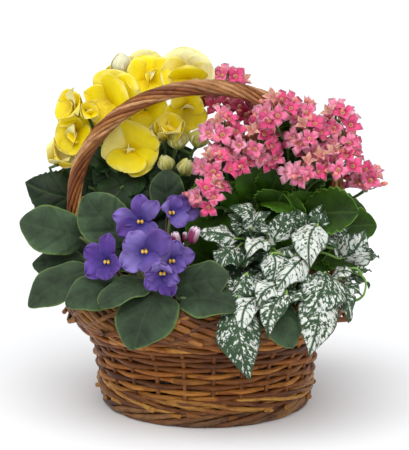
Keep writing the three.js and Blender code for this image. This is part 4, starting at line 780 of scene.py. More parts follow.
def stalk_finish(name, foot, head, settings, rough):
    """A fleshy stalk that changes colour from end to end, with fine lengthwise lines."""
    material, tree, shader = finish(name)
    reach = add(tree, "Attribute", attribute_name="reach", take="Fac")
    place = add(tree, "TexCoord", take="Object")
    noise = add(tree, "TexNoise", {"Vector": place, "Scale": 300.0, "Detail": 3.0})
    share = add(tree, "Math MULTIPLY_ADD", {0: noise, 1: 0.5, 2: reach})
    share = add(tree, "MapRange", {0: share, 1: 0.25, 2: 1.25})
    tone = add(tree, "Mix", {0: share, 6: linear(head), 7: linear(foot)}, 2, data_type="RGBA")
    bump = add(tree, "Bump", {"Strength": 0.3, "Distance": 0.0003, "Height": noise})
    feed(tree, shader, {"Base Color": tone, "Normal": bump, "Roughness": rough, **settings})
    return material


def petal_finish(name, heart, body, rim, pale, settings, veins, rim_start, rim_share=0.8, mottled=0.18,
                 rough=0.5, spacing=0.0011, heart_end=0.3, back=None, patch=45.0):
    """A petal: its heart, its body and its rim in their colours, finely veined, paler where tint is high."""
    material, tree, shader = finish(name)
    reach, edge, across, tint, behind = (add(tree, "Attribute", take="Fac", attribute_name=label)
                                         for label in ("reach", "edge", "across", "tint", "back"))
    place = add(tree, "TexCoord", take="Object")
    noise = add(tree, "TexNoise", {"Vector": place, "Scale": 160.0, "Detail": 4.0, "Roughness": 0.6})
    broad = add(tree, "TexNoise", {"Vector": place, "Scale": patch, "Detail": 2.0})
    out = add(tree, "MapRange", {0: reach, 1: 0.05, 2: heart_end})
    own = add(tree, "Math MULTIPLY_ADD", {0: broad, 1: 0.6, 2: tint})
    own = add(tree, "MapRange", {0: own, 1: 0.55, 2: 1.3})
    ground = add(tree, "Mix", {0: own, 6: linear(body), 7: linear(pale)}, 2, data_type="RGBA")
    inner = add(tree, "Mix", {0: out, 6: linear(heart), 7: ground}, 2, data_type="RGBA")
    # the rim is where the petal ends, at its tip and down both sides
    tip = add(tree, "MapRange", {0: reach, 1: rim_start, 2: 1.0})
    flank = add(tree, "MapRange", {0: edge, 1: 0.0, 2: (1 - rim_start) * 0.8, 3: 1.0, 4: 0.0})
    flank = add(tree, "Math MULTIPLY", {0: flank, 1: out})
    border = add(tree, "Math MAXIMUM", {0: tip, 1: flank})
    border = add(tree, "Math POWER", {0: border, 1: 1.6})
    border = add(tree, "Math MULTIPLY", {0: border, 1: rim_share})
    edged = add(tree, "Mix", {0: border, 6: inner, 7: linear(rim)}, 2, data_type="RGBA")
    if back:
        edged = add(tree, "Mix", {0: behind, 6: edged, 7: linear(back)}, 2, data_type="RGBA")
    # veins fan out from the heart, about a millimetre apart
    fan = add(tree, "Math", {0: reach, 1: 0.35})
    fan = add(tree, "Math DIVIDE", {0: across, 1: fan})
    fan = add(tree, "Math MULTIPLY_ADD", {0: noise, 1: 0.0012, 2: fan})
    line = add(tree, "Math PINGPONG", {0: fan, 1: spacing})
    line = add(tree, "MapRange", {0: line, 1: 0.0, 2: spacing * 0.6, 3: 1.0, 4: 0.0})
    dark = add(tree, "Math MULTIPLY_ADD", {0: line, 1: -veins, 2: 1.0})
    shade = add(tree, "MapRange", {0: broad, 1: 0.3, 2: 0.7, 3: 1 - mottled, 4: 1 + mottled})
    shade = add(tree, "Math MULTIPLY", {0: shade, 1: dark})
    colour = add(tree, "VectorMath SCALE", {0: edged, "Scale": shade})
    height = add(tree, "Math MULTIPLY_ADD", {0: line, 1: -0.5, 2: noise})
    bump = add(tree, "Bump", {"Strength": 0.4, "Distance": 0.0003, "Height": height})
    feed(tree, shader, {"Base Color": colour, "Normal": bump, "Roughness": rough, **settings})
    return material


def petal(centre, look, out, length, width, outline, rise, tint, rows, columns, cup, ripple, thick, waves=2,
          phase=0, notch=0):
    """A petal from a bloom's centre outwards. rise gives its height at even steps along it."""
    side = unit(np.cross(out, look))
    line = smooth_line(outline, rows)
    t = np.clip(line[:, 0], 0, 1)[:, None]
    half = width / 2 * np.clip(line[:, 1], 0.02, None)[:, None]
    s = np.linspace(-1, 1, columns)[None, :]
    x = s * half
    height = np.interp(t[:, 0], np.linspace(0, 1, len(rise)), rise)
    height = np.convolve(np.pad(height, 3, mode="edge"), np.ones(7) / 7, mode="valid")[:, None]
    folds = np.sin(waves * math.pi * s + phase) * t ** 3
    folds = folds + np.sin(2 * math.pi * waves * t + phase) * np.abs(s) ** 3 * np.sign(s)
    height = height + cup * half * s ** 2 + ripple * folds
    dip = notch * length * np.exp(-(s / 0.22) ** 2) * t ** 6
    grid = (np.asarray(centre, float) + np.asarray(out) * (length * t - dip)[..., None] + side * x[..., None]
            + np.asarray(look) * (height + 0 * x)[..., None])
    thickness = thick * (1 - 0.5 * np.abs(s) ** 3) * (1 - 0.4 * t)
    return blade(grid, thickness, across=x * MM, edge=1 - np.abs(s) + 0 * x, reach=t + 0 * x, tint=tint)


def bloom_axes(face):
    """The way a bloom looks, and a function that gives the direction at an angle round it."""
    look = facing(*face)
    up = unit(UP - look * look[2])
    right = np.cross(up, look)

    def around(angle):
        a = math.radians(angle)
        return right * math.cos(a) + up * math.sin(a)
    return look, around


def tilted(look, out, degrees):
    """A petal's way out and its facing when it is raised towards the viewer by so many degrees."""
    c, d = math.cos(math.radians(degrees)), math.sin(math.radians(degrees))
    return look * c - out * d, out * c + look * d


def bead(start, end, radius, shape, sides, finish_number=0, **marks):
    """A small round body between two points: shape gives radii as shares, evenly spread."""
    start, end = np.array(start, float), np.array(end, float)
    middle = start + (end - start) * 0.5
    return shoot([start, middle, end], [radius * share for share in shape], sides, finish_number,
                 max(6, len(shape) * 2), **marks)


def flesh(share, depth_mm, *reach):
    """Sockets for juicy tissue that light enters and leaves a little way off, red going furthest."""
    sockets = {"Subsurface Weight": share, "Subsurface Scale": depth_mm * MM}
    return {**sockets, "Subsurface Radius": reach} if reach else sockets


ROUND = (0.15, 0.75, 1.0, 0.97, 0.72, 0.15)
SOFT = flesh(0.15, 4, 1.0, 0.6, 0.5)
# a thick leaf under short down: greyish green and matt, puckered between its veins, with a pale rim
violet_green = leaf_finish(
    "downy_violet_leaf", "#354831", "#4c5f3e", "#6c8446", 0.0095, 0.7, 0.16, 0.09, 0.66, 1.0,
    {"Sheen Weight": 0.1, "Sheen Roughness": 0.4, "Sheen Tint": linear("#c3d4bb"),
     "Specular IOR Level": 0.22, **flesh(0.05, 3)})
# a hairy stalk: brown near the crown and green above, with a dull halo of hairs
violet_stalk = stalk_finish("hairy_violet_stalk", "#5c4332", "#5f6f40",
                            {"Sheen Weight": 0.1, "Sheen Tint": linear("#d9d6c0")}, 0.7)
# velvety tissue: deep blue at the heart, lighter and redder outwards, with a soft shimmer at grazing angles
violet_petal = petal_finish(
    "violet_petal", "#372c80", "#512f8a", "#8064b4", "#8270b6",
    {**SOFT, "Sheen Weight": 0.2, "Sheen Roughness": 0.4, "Sheen Tint": linear("#b9b0f5"),
     "Specular IOR Level": 0.3}, 0.1, 0.62, 0.45, 0.24, 0.6, heart_end=0.75)
# folded young petals: some white, some magenta, all magenta at the foot
violet_bud = petal_finish("violet_bud", "#8f2a5c", "#f6ecf4", "#efdcec", "#9c3566", SOFT, 0.2, 0.75,
                          spacing=0.0012, heart_end=1.5)
# sacs of pollen: a waxy egg yellow, the brightest spot of a bloom
anther = plain_finish("yellow_anther", "#dba000", "#f6cf38", 700, 0.45, 0.2, **flesh(0.2, 2))

VIOLET_OUTLINE = [
    (0, 0.1), (0.035, 0.4), (0.18, 0.8), (0.45, 1.0), (0.72, 0.88), (0.91, 0.5), (0.985, 0.2), (1, 0.02)]
VIOLET_FORM = dict(rows=40, columns=23, cup=-0.12, wave=2.4, waves=1.7, crease=1.8, thick=1.3, teeth=0.03,
                   tooth_count=11, curl=0.1, lean=0.5)
# Leaves: base, tip, facing, width, arch, tint; the tint is painted light and shade, high on leaves that stand
# in the light and low on leaves in shade
VIOLET_LEAVES = [
    ((-120, -30, 170), (-181, -36, 188), (-10, 35), 50, 4, 0.6),
    ((-77, -42, 168), (-118, -36, 213), (-5, 25), 50, 3, 0.62),
    ((-118, -36, 144), (-170, -34, 146), (-10, 45), 38, 4, 0.15),
    ((-112, -62, 146), (-170, -78, 114), (-15, 45), 42, 6, 0.3),
    ((-76, -88, 136), (-130, -114, 124), (-15, 50), 44, 6, 0.4),
    ((-46, -98, 134), (-66, -150, 92), (-10, 45), 58, 13, 0.25),
    ((-30, -92, 134), (20, -116, 150), (10, 40), 44, 3, 0.2),
    ((-22, -106, 128), (30, -138, 127), (10, 55), 46, 7, 0.25),
    ((-34, -26, 196), (-40, -20, 236), (-5, 20), 34, 3, 0.2),
    ((58, -108, 128), (78, -144, 91), (15, 45), 37, 9, 0.75),
    ((-84, -20, 150), (-112, 6, 168), (-30, 60), 36, 3, 0.4),
    ((-60, -30, 150), (-70, 8, 168), (-10, 60), 32, 3, 0.3),
    ((-52, -96, 142), (-98, -132, 128), (-10, 60), 34, 5, 0.35),
    ((-88, -14, 148), (-136, -12, 166), (-10, 40), 40, 3, 0.1),
    ((-66, -34, 144), (-94, -40, 168), (-5, 50), 38, 3, 0.1),
]
CROWN_FOOT, CROWN_TOP = np.array([-48, -54, 62.0]), np.array([-48, -56, 98.0])


def crown_root(towards, order):
    """Where a stalk leaves the crown: all round it, each a little above the one before."""
    root = CROWN_FOOT + (CROWN_TOP - CROWN_FOOT) * (0.62 + 0.34 * order / 11)
    out = np.array(towards, float) - root
    out[2] = 0
    return root + unit(out) * 2.7


parts = [shoot([CROWN_FOOT, (CROWN_FOOT + CROWN_TOP) / 2, CROWN_TOP], [5, 5.4, 4], 12, 1, tint=0.5)]
for order, (base, tip, *rest) in enumerate(VIOLET_LEAVES):
    parts.append(leaf(base, tip, *rest, VIOLET_OUTLINE, **VIOLET_FORM))
    parts.append(leaf_stalk(base, tip, crown_root(base, min(order, 11)), 2.0, 9))

VIOLET_PETAL = [
    (0, 0.2), (0.06, 0.4), (0.28, 0.76), (0.55, 1.0), (0.76, 0.92), (0.9, 0.62), (0.98, 0.26), (1, 0.04)]
# Blooms: centre, facing, tint, and petals as (angle, length, width, degrees raised, added paleness)
VIOLET_BLOOMS = [
    ((-92, -94, 161), (-18, 6), 0.15, [
        (84, 28, 18, 14, -0.1), (150, 25, 20, 16, 0.1), (212, 25, 21, 8, 0.1), (284, 20, 22, 24, 0.0),
        (348, 21, 20, 26, -0.1)]),
    ((-62, -74, 195), (-4, 18), 0.45, [
        (90, 26, 18, 16, -0.1), (45, 28, 17, 26, 0.3), (168, 27, 17, 6, 0.2), (212, 26, 20, 12, -0.2),
        (306, 23, 22, 10, 0.1)]),
    ((-34, -58, 200), (20, 30), 0.45, [
        (68, 18, 16, 20, 0.0), (30, 23, 18, 10, -0.1), (354, 28, 18, 4, 0.2), (304, 19, 20, 8, 0.2),
        (170, 15, 17, 30, 0.4)]),
    ((-57, -104, 173), (-6, 8), 0.7, [
        (128, 23, 20, 14, 0.2), (160, 22, 18, 10, 0.1), (218, 26, 24, 4, 0.3), (30, 29, 26, 8, -0.25),
        (296, 22, 22, 10, -0.2)]),
    ((-33, -92, 161), (14, 14), 0.55, [
        (72, 20, 18, 14, 0.1), (14, 23, 17, 6, 0.1), (330, 16, 19, 16, 0.0), (150, 17, 17, 22, 0.3),
        (250, 16, 18, 18, 0.0)]),
    ((-40, -122, 157), (-2, -4), 0.3, [
        (118, 17, 17, 46, 1.2), (62, 16, 18, 50, 1.0), (182, 18, 15, 20, 0.2), (226, 22, 17, 12, 0.1),
        (290, 24, 17, 4, 0.0), (336, 19, 16, 18, 0.3)]),
]
for order, (centre, face, tint, petals) in enumerate(VIOLET_BLOOMS):
    look, around = bloom_axes(face)
    centre = np.array(centre, float)
    dice = random.Random(40 + order)
    flower = []
    for k, (angle, length, width, raised, paler) in enumerate(petals):
        form = dict(cup=dice.uniform(-0.1, 0.3), ripple=dice.uniform(1.1, 2.3), waves=dice.uniform(1.6, 2.8),
                    phase=dice.uniform(0, 6), rows=20, columns=17, notch=0.02, thick=0.5)
        bow = dice.uniform(1, 3)
        heights = [-2.2, 0.6, bow + 0.5 * k, bow * 1.2 + 0.5 * k, bow * dice.uniform(-0.6, 1.0) + 0.5 * k]
        turned, out = tilted(look, around(angle), raised)
        flower.append(petal(centre, turned, out, length, width, VIOLET_PETAL, heights, tint + paler, **form))
    for angle in (-28, 208):
        spot = centre + around(angle) * 2.0 + look * 3.2
        flower.append(bead(spot - around(90) * 1.9, spot + around(90) * 2.1 + look * 0.4, 1.5, ROUND, 8, 1))
    flower.append(shoot([centre - look * 1, centre + look * 3, centre + around(-80) * 1.2 + look * 7],
                        [0.8, 0.5, 0.35], 6, 2, tint=0.5))
    throat = [centre - look * 5, centre - look * 2.5, centre - look * 0.5]
    flower.append(shoot(throat, [1.2, 2.2, 3.0], 8, 3, tint=0.5))
    assemble(f"violet_bloom_petals_{order + 1}", flower, [violet_petal, anther, violet_bud, violet_stalk],
             "violet_petal", f"violet_bloom_{order + 1}")
    root = crown_root(centre, order + 0.5)
    end = centre - look * 5.2
    parts.append(shoot([root, end - look * 8 - UP * 2, end], [1.5, 1.3, 1.1], 7, 1, 12, tint=0.5))

VIOLET_FORK = np.array([-20, -66, 168.0])
parts.append(shoot([crown_root(VIOLET_FORK, 11), VIOLET_FORK - UP * 8, VIOLET_FORK],
                   [1.5, 1.3, 1.5], 7, 1, tint=0.5))
assemble("violet_rosette", parts, [violet_green, violet_stalk], "violet_leaf", "violet_plant")

# each bud is a bead with five petals folded over it, magenta where the tint is high
BUD_TINTS = (0.2, 1.0, 0.1, 0.8, 0.5)
buds = []
for base, tip, radius in (((-27, -74, 172), (-30, -77, 185), 6.4), ((-14, -73, 175), (-9, -77, 190), 8.0),
                          ((-20, -70, 176), (-20, -71, 184), 3.2)):
    buds.append(bead(VIOLET_FORK, base, 1.1, (1, 1), 7, 1))
    base, tip = np.array(base, float), np.array(tip, float)
    axis = unit(tip - base)
    buds.append(bead(base, tip, radius * 0.6, ROUND, 10, 0, tint=0.2))
    height, side = np.linalg.norm(tip - base), unit(np.cross(axis, [0.2, 1, 0.1]))
    for turn, tint in enumerate(BUD_TINTS):
        a = turn * 2 * math.pi / 5
        out = side * math.cos(a) + np.cross(axis, side) * math.sin(a)
        buds.append(petal(base + out * radius * 0.25, out, axis, height * 0.98, radius * 1.1, VIOLET_PETAL,
                          [0, radius * 0.75, radius * 0.6, 0.4], tint, rows=10, columns=9, cup=-0.5,
                          ripple=0.15, thick=0.6))
assemble("violet_bud_pair", buds, [violet_bud, violet_stalk], "violet_bud", "violet_buds")

# ------------------------------------------------------------------ begonia
# Three stems with dark, lopsided, saw-edged leaves. Above them stand lemon-yellow blooms: broad thin
# petals that overlap like saucers, small folded ones inside them, and fat green-yellow buds.

# a firm hairless leaf: very dark green with a broad satin shine and sunken paler veins
begonia_green = leaf_finish(
    "satin_begonia_leaf", "#223a1a", "#3d5a2e", "#35522a", 0.010, 0.9, 0.4, 0.07, 0.45, 0.7,
    {"Coat Weight": 0.04, "Coat Roughness": 0.35, "Specular IOR Level": 0.2})
# a watery stalk that looks lit from inside
begonia_stalk = stalk_finish("green_begonia_stalk", "#41602c", "#5d7a3a", flesh(0.1, 3), 0.4)
# thin waxy tissue: light goes through it, so that even its shaded side stays yellow; its rim is cream
begonia_petal = petal_finish(
    "lemon_begonia_petal", "#dcbc00", "#f6dc00", "#f4ec98", "#f2ebac",
    {**flesh(0.2, 4, 1.0, 0.85, 0.15), "Specular IOR Level": 0.25},
    0.03, 0.76, 0.55, 0.12, 0.42, spacing=0.0014, heart_end=0.6)
# the petals of a closed bud: green at the foot and cream at the tip
begonia_bud = petal_finish("green_yellow_begonia_bud", "#86a02c", "#c9c44e", "#f6f1c4", "#f3efc4",
                           flesh(0.25, 4, 1.0, 0.9, 0.3), 0.1, 0.6, 0.5, 0.1)
BEGONIA_OUTLINE = [
    (0, 0.32), (0.03, 0.62), (0.2, 0.97), (0.42, 1.0), (0.66, 0.8), (0.86, 0.42), (0.97, 0.12), (1, 0.01)]
BEGONIA_FORM = dict(rows=46, columns=21, cup=-0.14, wave=2.2, waves=2.6, crease=1.6, thick=0.8, teeth=0.11,
                    tooth_count=13, curl=0.4, lean=1.2)
BEGONIA_STEMS = [
    [(-49, 43, 66), (-66, 34, 130), (-78, 30, 190), (-88, 34, 236)],
    [(-47, 43, 66), (-38, 36, 130), (-38, 34, 190), (-44, 38, 244)],
    [(-48, 46, 66), (-54, 66, 130), (-64, 72, 190), (-72, 74, 236)],
]
# Leaves: stem, base, tip, facing, width, arch
BEGONIA_LEAVES = [
    (0, (-122, 26, 200), (-182, 22, 218), (-8, 22), 52, 5),
    (0, (-84, 20, 214), (-116, 14, 180), (-10, 25), 44, 4),
    (0, (-66, 26, 226), (-98, 22, 200), (-5, 35), 38, 4),
    (1, (-46, 22, 212), (-68, 14, 178), (0, 25), 40, 4),
    (1, (-30, 24, 234), (-40, 13, 198), (5, 22), 38, 4),
    (1, (-22, 34, 232), (8, 24, 208), (10, 30), 36, 4),
    (2, (-92, 76, 206), (-156, 96, 200), (-120, 35), 50, 6),
    (2, (-66, 96, 196), (-76, 156, 178), (-170, 45), 54, 8),
    (2, (-34, 84, 204), (-14, 136, 190), (165, 45), 46, 6),
    (0, (-108, 52, 180), (-164, 62, 158), (-70, 45), 46, 6),
    (0, (-106, 44, 214), (-150, 52, 226), (-20, 30), 42, 4),
    (1, (-58, 44, 200), (-96, 40, 214), (0, 30), 46, 4),
    (1, (-24, 50, 206), (10, 44, 226), (5, 25), 40, 4),
    (2, (-48, 70, 220), (-14, 66, 244), (0, 20), 40, 4),
    (0, (-92, 40, 232), (-118, 44, 250), (-10, 20), 36, 3),
    (0, (-80, 24, 190), (-108, 10, 154), (-10, 30), 46, 4),
    (1, (-36, 26, 196), (-14, 16, 156), (5, 25), 46, 4),
    (1, (-44, 24, 192), (-60, 10, 148), (-5, 25), 46, 4),
    (1, (-34, 40, 220), (-64, 34, 248), (0, 15), 44, 4),
    (2, (-66, 74, 214), (-110, 72, 236), (-10, 20), 50, 4),
    (2, (-54, 92, 160), (-40, 140, 112), (-180, 45), 50, 6),
    (2, (-82, 84, 160), (-104, 124, 116), (-150, 40), 50, 6),
    (2, (-96, 62, 158), (-144, 74, 126), (-105, 40), 48, 6),
    (1, (-84, 44, 196), (-114, 38, 232), (0, 20), 44, 4),
    (0, (-96, 30, 232), (-124, 22, 254), (-10, 35), 22, 4),
]


def on_line(points, share):
    """The point at a share of the way along a line."""
    line = smooth_line(points, 60)
    return line[int(round(share * 59))]


parts = [shoot([(-48, 44, 62), (-48, 44, 80), (-48, 44, 94)], [7.6, 7.2, 6], 12, 1)]
for points in BEGONIA_STEMS:
    parts.append(shoot(points, [4.4, 4, 3.4, 2.6], 10, 1, 20))
for order, (stem, base, tip, *rest) in enumerate(BEGONIA_LEAVES):
    parts.append(leaf(base, tip, *rest, (order * 0.37) % 1 * 0.7, BEGONIA_OUTLINE, **BEGONIA_FORM))
    root = on_line(BEGONIA_STEMS[stem], 0.45 + 0.4 * order / len(BEGONIA_LEAVES))
    parts.append(leaf_stalk(base, tip, root, 2.1))

BEGONIA_PETAL = [
    (0, 0.24), (0.07, 0.48), (0.26, 0.84), (0.52, 1.0), (0.76, 0.93), (0.93, 0.6), (0.99, 0.25), (1, 0.04)]
BEGONIA_POINTED = [
    (0, 0.24), (0.07, 0.46), (0.26, 0.84), (0.48, 1.0), (0.7, 0.82), (0.88, 0.44), (0.98, 0.14), (1, 0.04)]
# Blooms: stem, centre, facing, and petals as (angle, length, width, degrees raised, paleness)
BEGONIA_BLOOMS = {
    "front": (0, (-75, 24, 250), (-10, 12), [
        (150, 29, 44, 4, 0.6), (325, 29, 42, 6, 0.1), (64, 28, 52, 10, 0.1), (258, 27, 42, 20, 0.0),
        (120, 8, 9, 58, 1.0), (330, 8, 9, 62, 1.0)]),
    "upper_left": (0, (-94, 32, 297), (-24, 12), [
        (165, 31, 26, 8, 0.0), (85, 33, 46, 6, 0.3), (20, 36, 46, 10, 0.0), (240, 27, 34, 10, 0.2),
        (300, 28, 40, 12, 0.1), (40, 28, 48, 20, 0.1)]),
    "top": (0, (-58, 34, 320), (8, 20), [
        (80, 24, 38, 12, 0.0), (170, 24, 36, 14, 0.2), (0, 25, 40, 14, 0.1), (265, 22, 36, 16, 0.1),
        (30, 17, 9, 56, 1.0), (150, 14, 20, 54, 0.1)]),
    "top_right": (1, (-20, 40, 321), (8, 10), [
        (112, 31, 38, 4, 1.0), (62, 30, 34, 8, 0.95), (25, 29, 36, 8, 1.0), (165, 28, 34, 8, 0.5),
        (350, 27, 36, 10, 0.9), (262, 24, 40, 16, 0.0), (90, 16, 40, 30, 0.05)]),
    "far_left": (0, (-128, 40, 288), (-35, 20), [
        (84, 21, 32, 38, 0.1), (170, 24, 34, 30, 0.3), (242, 27, 24, 22, 0.2), (322, 22, 34, 40, 0.0),
        (58, 34, 11, 48, 1.0), (20, 16, 22, 56, 0.3)]),
    "left": (0, (-132, 36, 264), (-15, 5), [
        (96, 27, 24, 22, 0.2), (172, 21, 32, 26, 0.3), (248, 23, 34, 20, 0.1), (326, 22, 36, 22, 0.0),
        (70, 20, 13, 48, 1.0), (20, 15, 22, 50, 0.5), (200, 14, 20, 54, 0.1)]),
    "low_left": (0, (-151, 36, 235), (30, 38), [
        (100, 22, 32, 36, 1.1), (20, 21, 30, 46, 1.1), (300, 20, 34, 52, 0.9), (200, 21, 38, 52, 0.2)]),
    "middle": (1, (-39, 26, 262), (16, 46), [
        (90, 24, 32, 50, 0.1), (18, 25, 32, 46, 0.2), (306, 24, 32, 54, 0.6), (234, 24, 32, 54, 0.7),
        (162, 25, 32, 46, 0.3), (60, 15, 20, 60, 0.0), (200, 15, 20, 62, 0.0)]),
    "right": (1, (-20, 32, 293), (10, -4), [
        (225, 25, 30, 8, 0.1), (300, 25, 30, 8, 0.0), (120, 20, 26, 22, 0.3), (30, 19, 26, 22, 0.2),
        (90, 10, 14, 50, 0.8)]),
    "behind_top": (2, (-62, 62, 326), (-5, 20), [
        (110, 22, 26, 18, 0.9), (60, 22, 24, 12, 0.7), (185, 24, 28, 16, 0.9), (15, 24, 24, 16, 0.6),
        (270, 18, 26, 20, 0.8)]),
    "back_left": (2, (-96, 88, 268), (-150, 20), [
        (90, 27, 36, 12, 0.2), (180, 29, 38, 12, 0.0), (270, 25, 34, 14, 0.1), (0, 29, 38, 12, 0.5),
        (45, 14, 18, 50, 0.8), (200, 13, 17, 52, 0.3)]),
    "back_middle": (2, (-44, 98, 254), (170, 25), [
        (90, 26, 36, 12, 0.1), (180, 28, 38, 12, 0.3), (270, 24, 34, 14, 0.0), (0, 28, 38, 12, 0.1),
        (45, 14, 18, 50, 0.8), (200, 13, 17, 52, 0.3)]),
    "back_top": (2, (-62, 84, 298), (178, 35), [
        (10, 24, 34, 14, 0.1), (130, 24, 34, 14, 0.6), (250, 22, 34, 16, 0.2), (60, 13, 17, 50, 0.8)]),
    # blooms between these, each built with the one named last
    "rolled": (0, (-116, 30, 285), (5, 25), [
        (140, 16, 22, 46, 0.4), (230, 15, 22, 50, 0.2), (320, 16, 22, 48, 0.1), (50, 15, 22, 50, 0.3),
        (100, 10, 15, 60, 0.1), (280, 9, 13, 62, 0.1)], "far_left"),
    "under_the_arch": (0, (-60, 36, 288), (0, 10), [
        (170, 24, 32, 14, 0.3), (80, 22, 32, 12, 0.1), (350, 24, 32, 14, 0.2),
        (265, 20, 30, 18, 0.2)], "middle"),
    "behind_left": (0, (-108, 50, 272), (-15, 5), [
        (60, 24, 32, 10, 0.0), (180, 24, 32, 10, 0.1), (300, 24, 32, 12, 0.0)], "left"),
    "crown": (0, (-86, 50, 316), (-10, 15), [
        (60, 24, 32, 14, 0.4), (150, 20, 28, 16, 0.3), (350, 26, 32, 12, 0.4)], "upper_left"),
    "beside_front": (0, (-52, 28, 262), (25, 35), [
        (90, 17, 18, 50, 1.0), (200, 16, 20, 56, 0.8), (330, 17, 18, 50, 0.9)], "front"),
}
for order, (name, (stem, centre, face, petals, *with_bloom)) in enumerate(BEGONIA_BLOOMS.items()):
    look, around = bloom_axes(face)
    centre = np.array(centre, float)
    dice = random.Random(70 + order)
    flower = []
    for k, (angle, length, width, raised, pale) in enumerate(petals):
        small = length < 18
        form = dict(cup=dice.uniform(0.35, 0.6) if small or raised > 30 else dice.uniform(0.02, 0.22),
                    ripple=0.5 if small else dice.uniform(0.8, 2.2), waves=dice.uniform(0.7, 1.4),
                    phase=dice.uniform(0, 6), rows=20, columns=17, notch=0.02, thick=0.5)
        step = 0.9 * k
        bow = length * 0.12 * dice.uniform(0.3, 1.3)
        heights = [-3 + step, step, bow + step, bow * 1.2 + step, bow * dice.uniform(-0.6, 0.9) + step]
        turned, out = tilted(look, around(angle), raised)
        outline = BEGONIA_POINTED if width < length else BEGONIA_PETAL
        flower.append(petal(centre, turned, out, length, width, outline, heights, pale, **form))
    flower.append(shoot([centre - look * 6, centre - look * 3, centre - look * 0.5], [1.6, 3.0, 4.2], 10, 2))
    assemble(f"begonia_petals_{name}", flower, [begonia_petal, begonia_bud, begonia_stalk], "begonia_petal",
             f"begonia_bloom_{with_bloom[0] if with_bloom else name}")
    root = on_line(BEGONIA_STEMS[stem], 0.66 + 0.3 * order / 17)
    end = centre - look * 6.2
    parts.append(shoot([root, end - look * 8 - UP * 3, end], [2.1, 1.7, 1.5], 8, 1, 14))

# Buds: stem, fork, and buds as (base, tip, radius)
BEGONIA_BUDS = {
    "low": (1, (-30, 22, 224), [((-38, 14, 230), (-42, 9, 247), 9.4), ((-22, 13, 226), (-17, 8, 243), 10.4)]),
    "high": (1, (-16, 30, 244), [
        ((-26, 24, 251), (-31, 20, 271), 11.6), ((-10, 27, 252), (-4, 25, 271), 11.4)]),
    "crown": (0, (-85, 52, 314), [((-85, 50, 321), (-87, 44, 346), 12)]),
}
for order, (name, (stem, fork, buds)) in enumerate(BEGONIA_BUDS.items()):
    flower = []
    for base, tip, radius in buds:
        base, tip = np.array(base, float), np.array(tip, float)
        axis, height = unit(tip - base), np.linalg.norm(tip - base)
        flower.append(bead(fork, base, 1.6, (1, 0.9, 1.3), 8, 1))
        flower.append(bead(base, tip - axis * 2, radius * 0.72, ROUND, 12, 0, tint=0.4))
        side = unit(np.cross(axis, [0.2, 1, 0.1]))
        tint = 1.0 if name == "crown" else 0.2
        for turn in range(4):
            a = turn * math.pi / 2 + 0.5 + order
            out = side * math.cos(a) + np.cross(axis, side) * math.sin(a)
            flower.append(petal(
                base + out * radius * 0.1, out, axis, height * (1.02 - 0.04 * turn), radius * 1.75,
                BEGONIA_POINTED, [-1, radius * 0.62, radius * 0.8, radius * 0.55, 0.2], tint + 0.2 * turn,
                rows=14, columns=11, cup=-0.42, ripple=0.3, thick=0.8, phase=turn))
    assemble(f"begonia_buds_{name}_petals", flower, [begonia_bud, begonia_stalk], "begonia_petal",
             f"begonia_buds_{name}")
    root = on_line(BEGONIA_STEMS[stem], 0.6 + 0.1 * order)
    end = np.array(fork, float)
    parts.append(shoot([root, end - UP * 9, end], [2.1, 1.7, 1.9], 8, 1, 12))
assemble("begonia_stems_and_leaves", parts, [begonia_green, begonia_stalk], "begonia_leaf", "begonia_plant")

# ------------------------------------------------------------------ kalanchoe
# Glossy scalloped leaves under heads of small pink flowers. Every floret has four petals round a
# dark throat and stands on its own green stalk; the peach-coloured buds stand among them.

# a succulent leaf: clear green all through, with a faint wax shine and hardly any veins
kalanchoe_green = leaf_finish(
    "glossy_kalanchoe_leaf", "#2e4d10", "#456526", "#6a9a3a", 0.012, 0.8, 0.3, 0.05, 0.42, 0.4,
    {"Coat Weight": 0.02, "Coat Roughness": 0.25, "Specular IOR Level": 0.1, **flesh(0.1, 4)})
# a smooth juicy stalk, yellower towards the flowers
kalanchoe_stalk = stalk_finish("green_kalanchoe_stalk", "#3f5f2b", "#6f8545", flesh(0.1, 2), 0.45)
# small waxy petals: clear pink that differs from floret to floret, pale at the rim, peach behind
floret_pink = petal_finish(
    "pink_kalanchoe_petal", "#8e1f48", "#ef5489", "#fcd6ca", "#fbaac2",
    {**flesh(0.25, 2, 1.0, 0.4, 0.5), "Specular IOR Level": 0.25},
    0.22, 0.74, 0.6, 0.3, 0.45, 0.0008, 0.45, "#e5a78c", 150.0)
# the pink petal again in darker reds for the heads behind and under the arch: painted shade, where those heads
# stand in shadow
shaded_pink_floret = petal_finish("kalanchoe_petal_in_painted_shade", "#6a1028", "#a81a44", "#e88a84", "#cc4470", SOFT,
                          0.12, 0.78, 0.5, 0.3, heart_end=0.45, back="#c4766a")
# closed buds and cups: green at the foot, through peach to pink at the tip
floret_peach = petal_finish("peach_kalanchoe_bud", "#6f8a3a", "#d59a62", "#e8828a", "#ecc48c",
                            flesh(0.25, 2), 0.1, 0.55, 0.7, 0.12)
# the throat of a floret: a yellow-green dot with brown specks
floret_eye = plain_finish("yellow_green_floret_eye", "#b8a83a", "#7d3a2a", 900, 0.5, 0.1)
KALANCHOE_OUTLINE = [
    (0, 0.2), (0.04, 0.36), (0.24, 0.8), (0.52, 1.0), (0.76, 0.9), (0.92, 0.56), (0.99, 0.2), (1, 0.02)]
KALANCHOE_FORM = dict(rows=50, columns=19, cup=0.16, wave=1.4, waves=1.6, crease=0.8, thick=1.6, teeth=0.2,
                      tooth_count=8, curl=0.12, lean=0.6)
KALANCHOE_STEMS = [
    [(44, 41, 66), (32, 26, 130), (30, 10, 180), (32, -4, 208)],
    [(47, 41, 66), (66, 28, 130), (82, 6, 185), (86, -6, 214)],
    [(46, 44, 66), (62, 60, 130), (80, 60, 180), (92, 56, 206)],
]
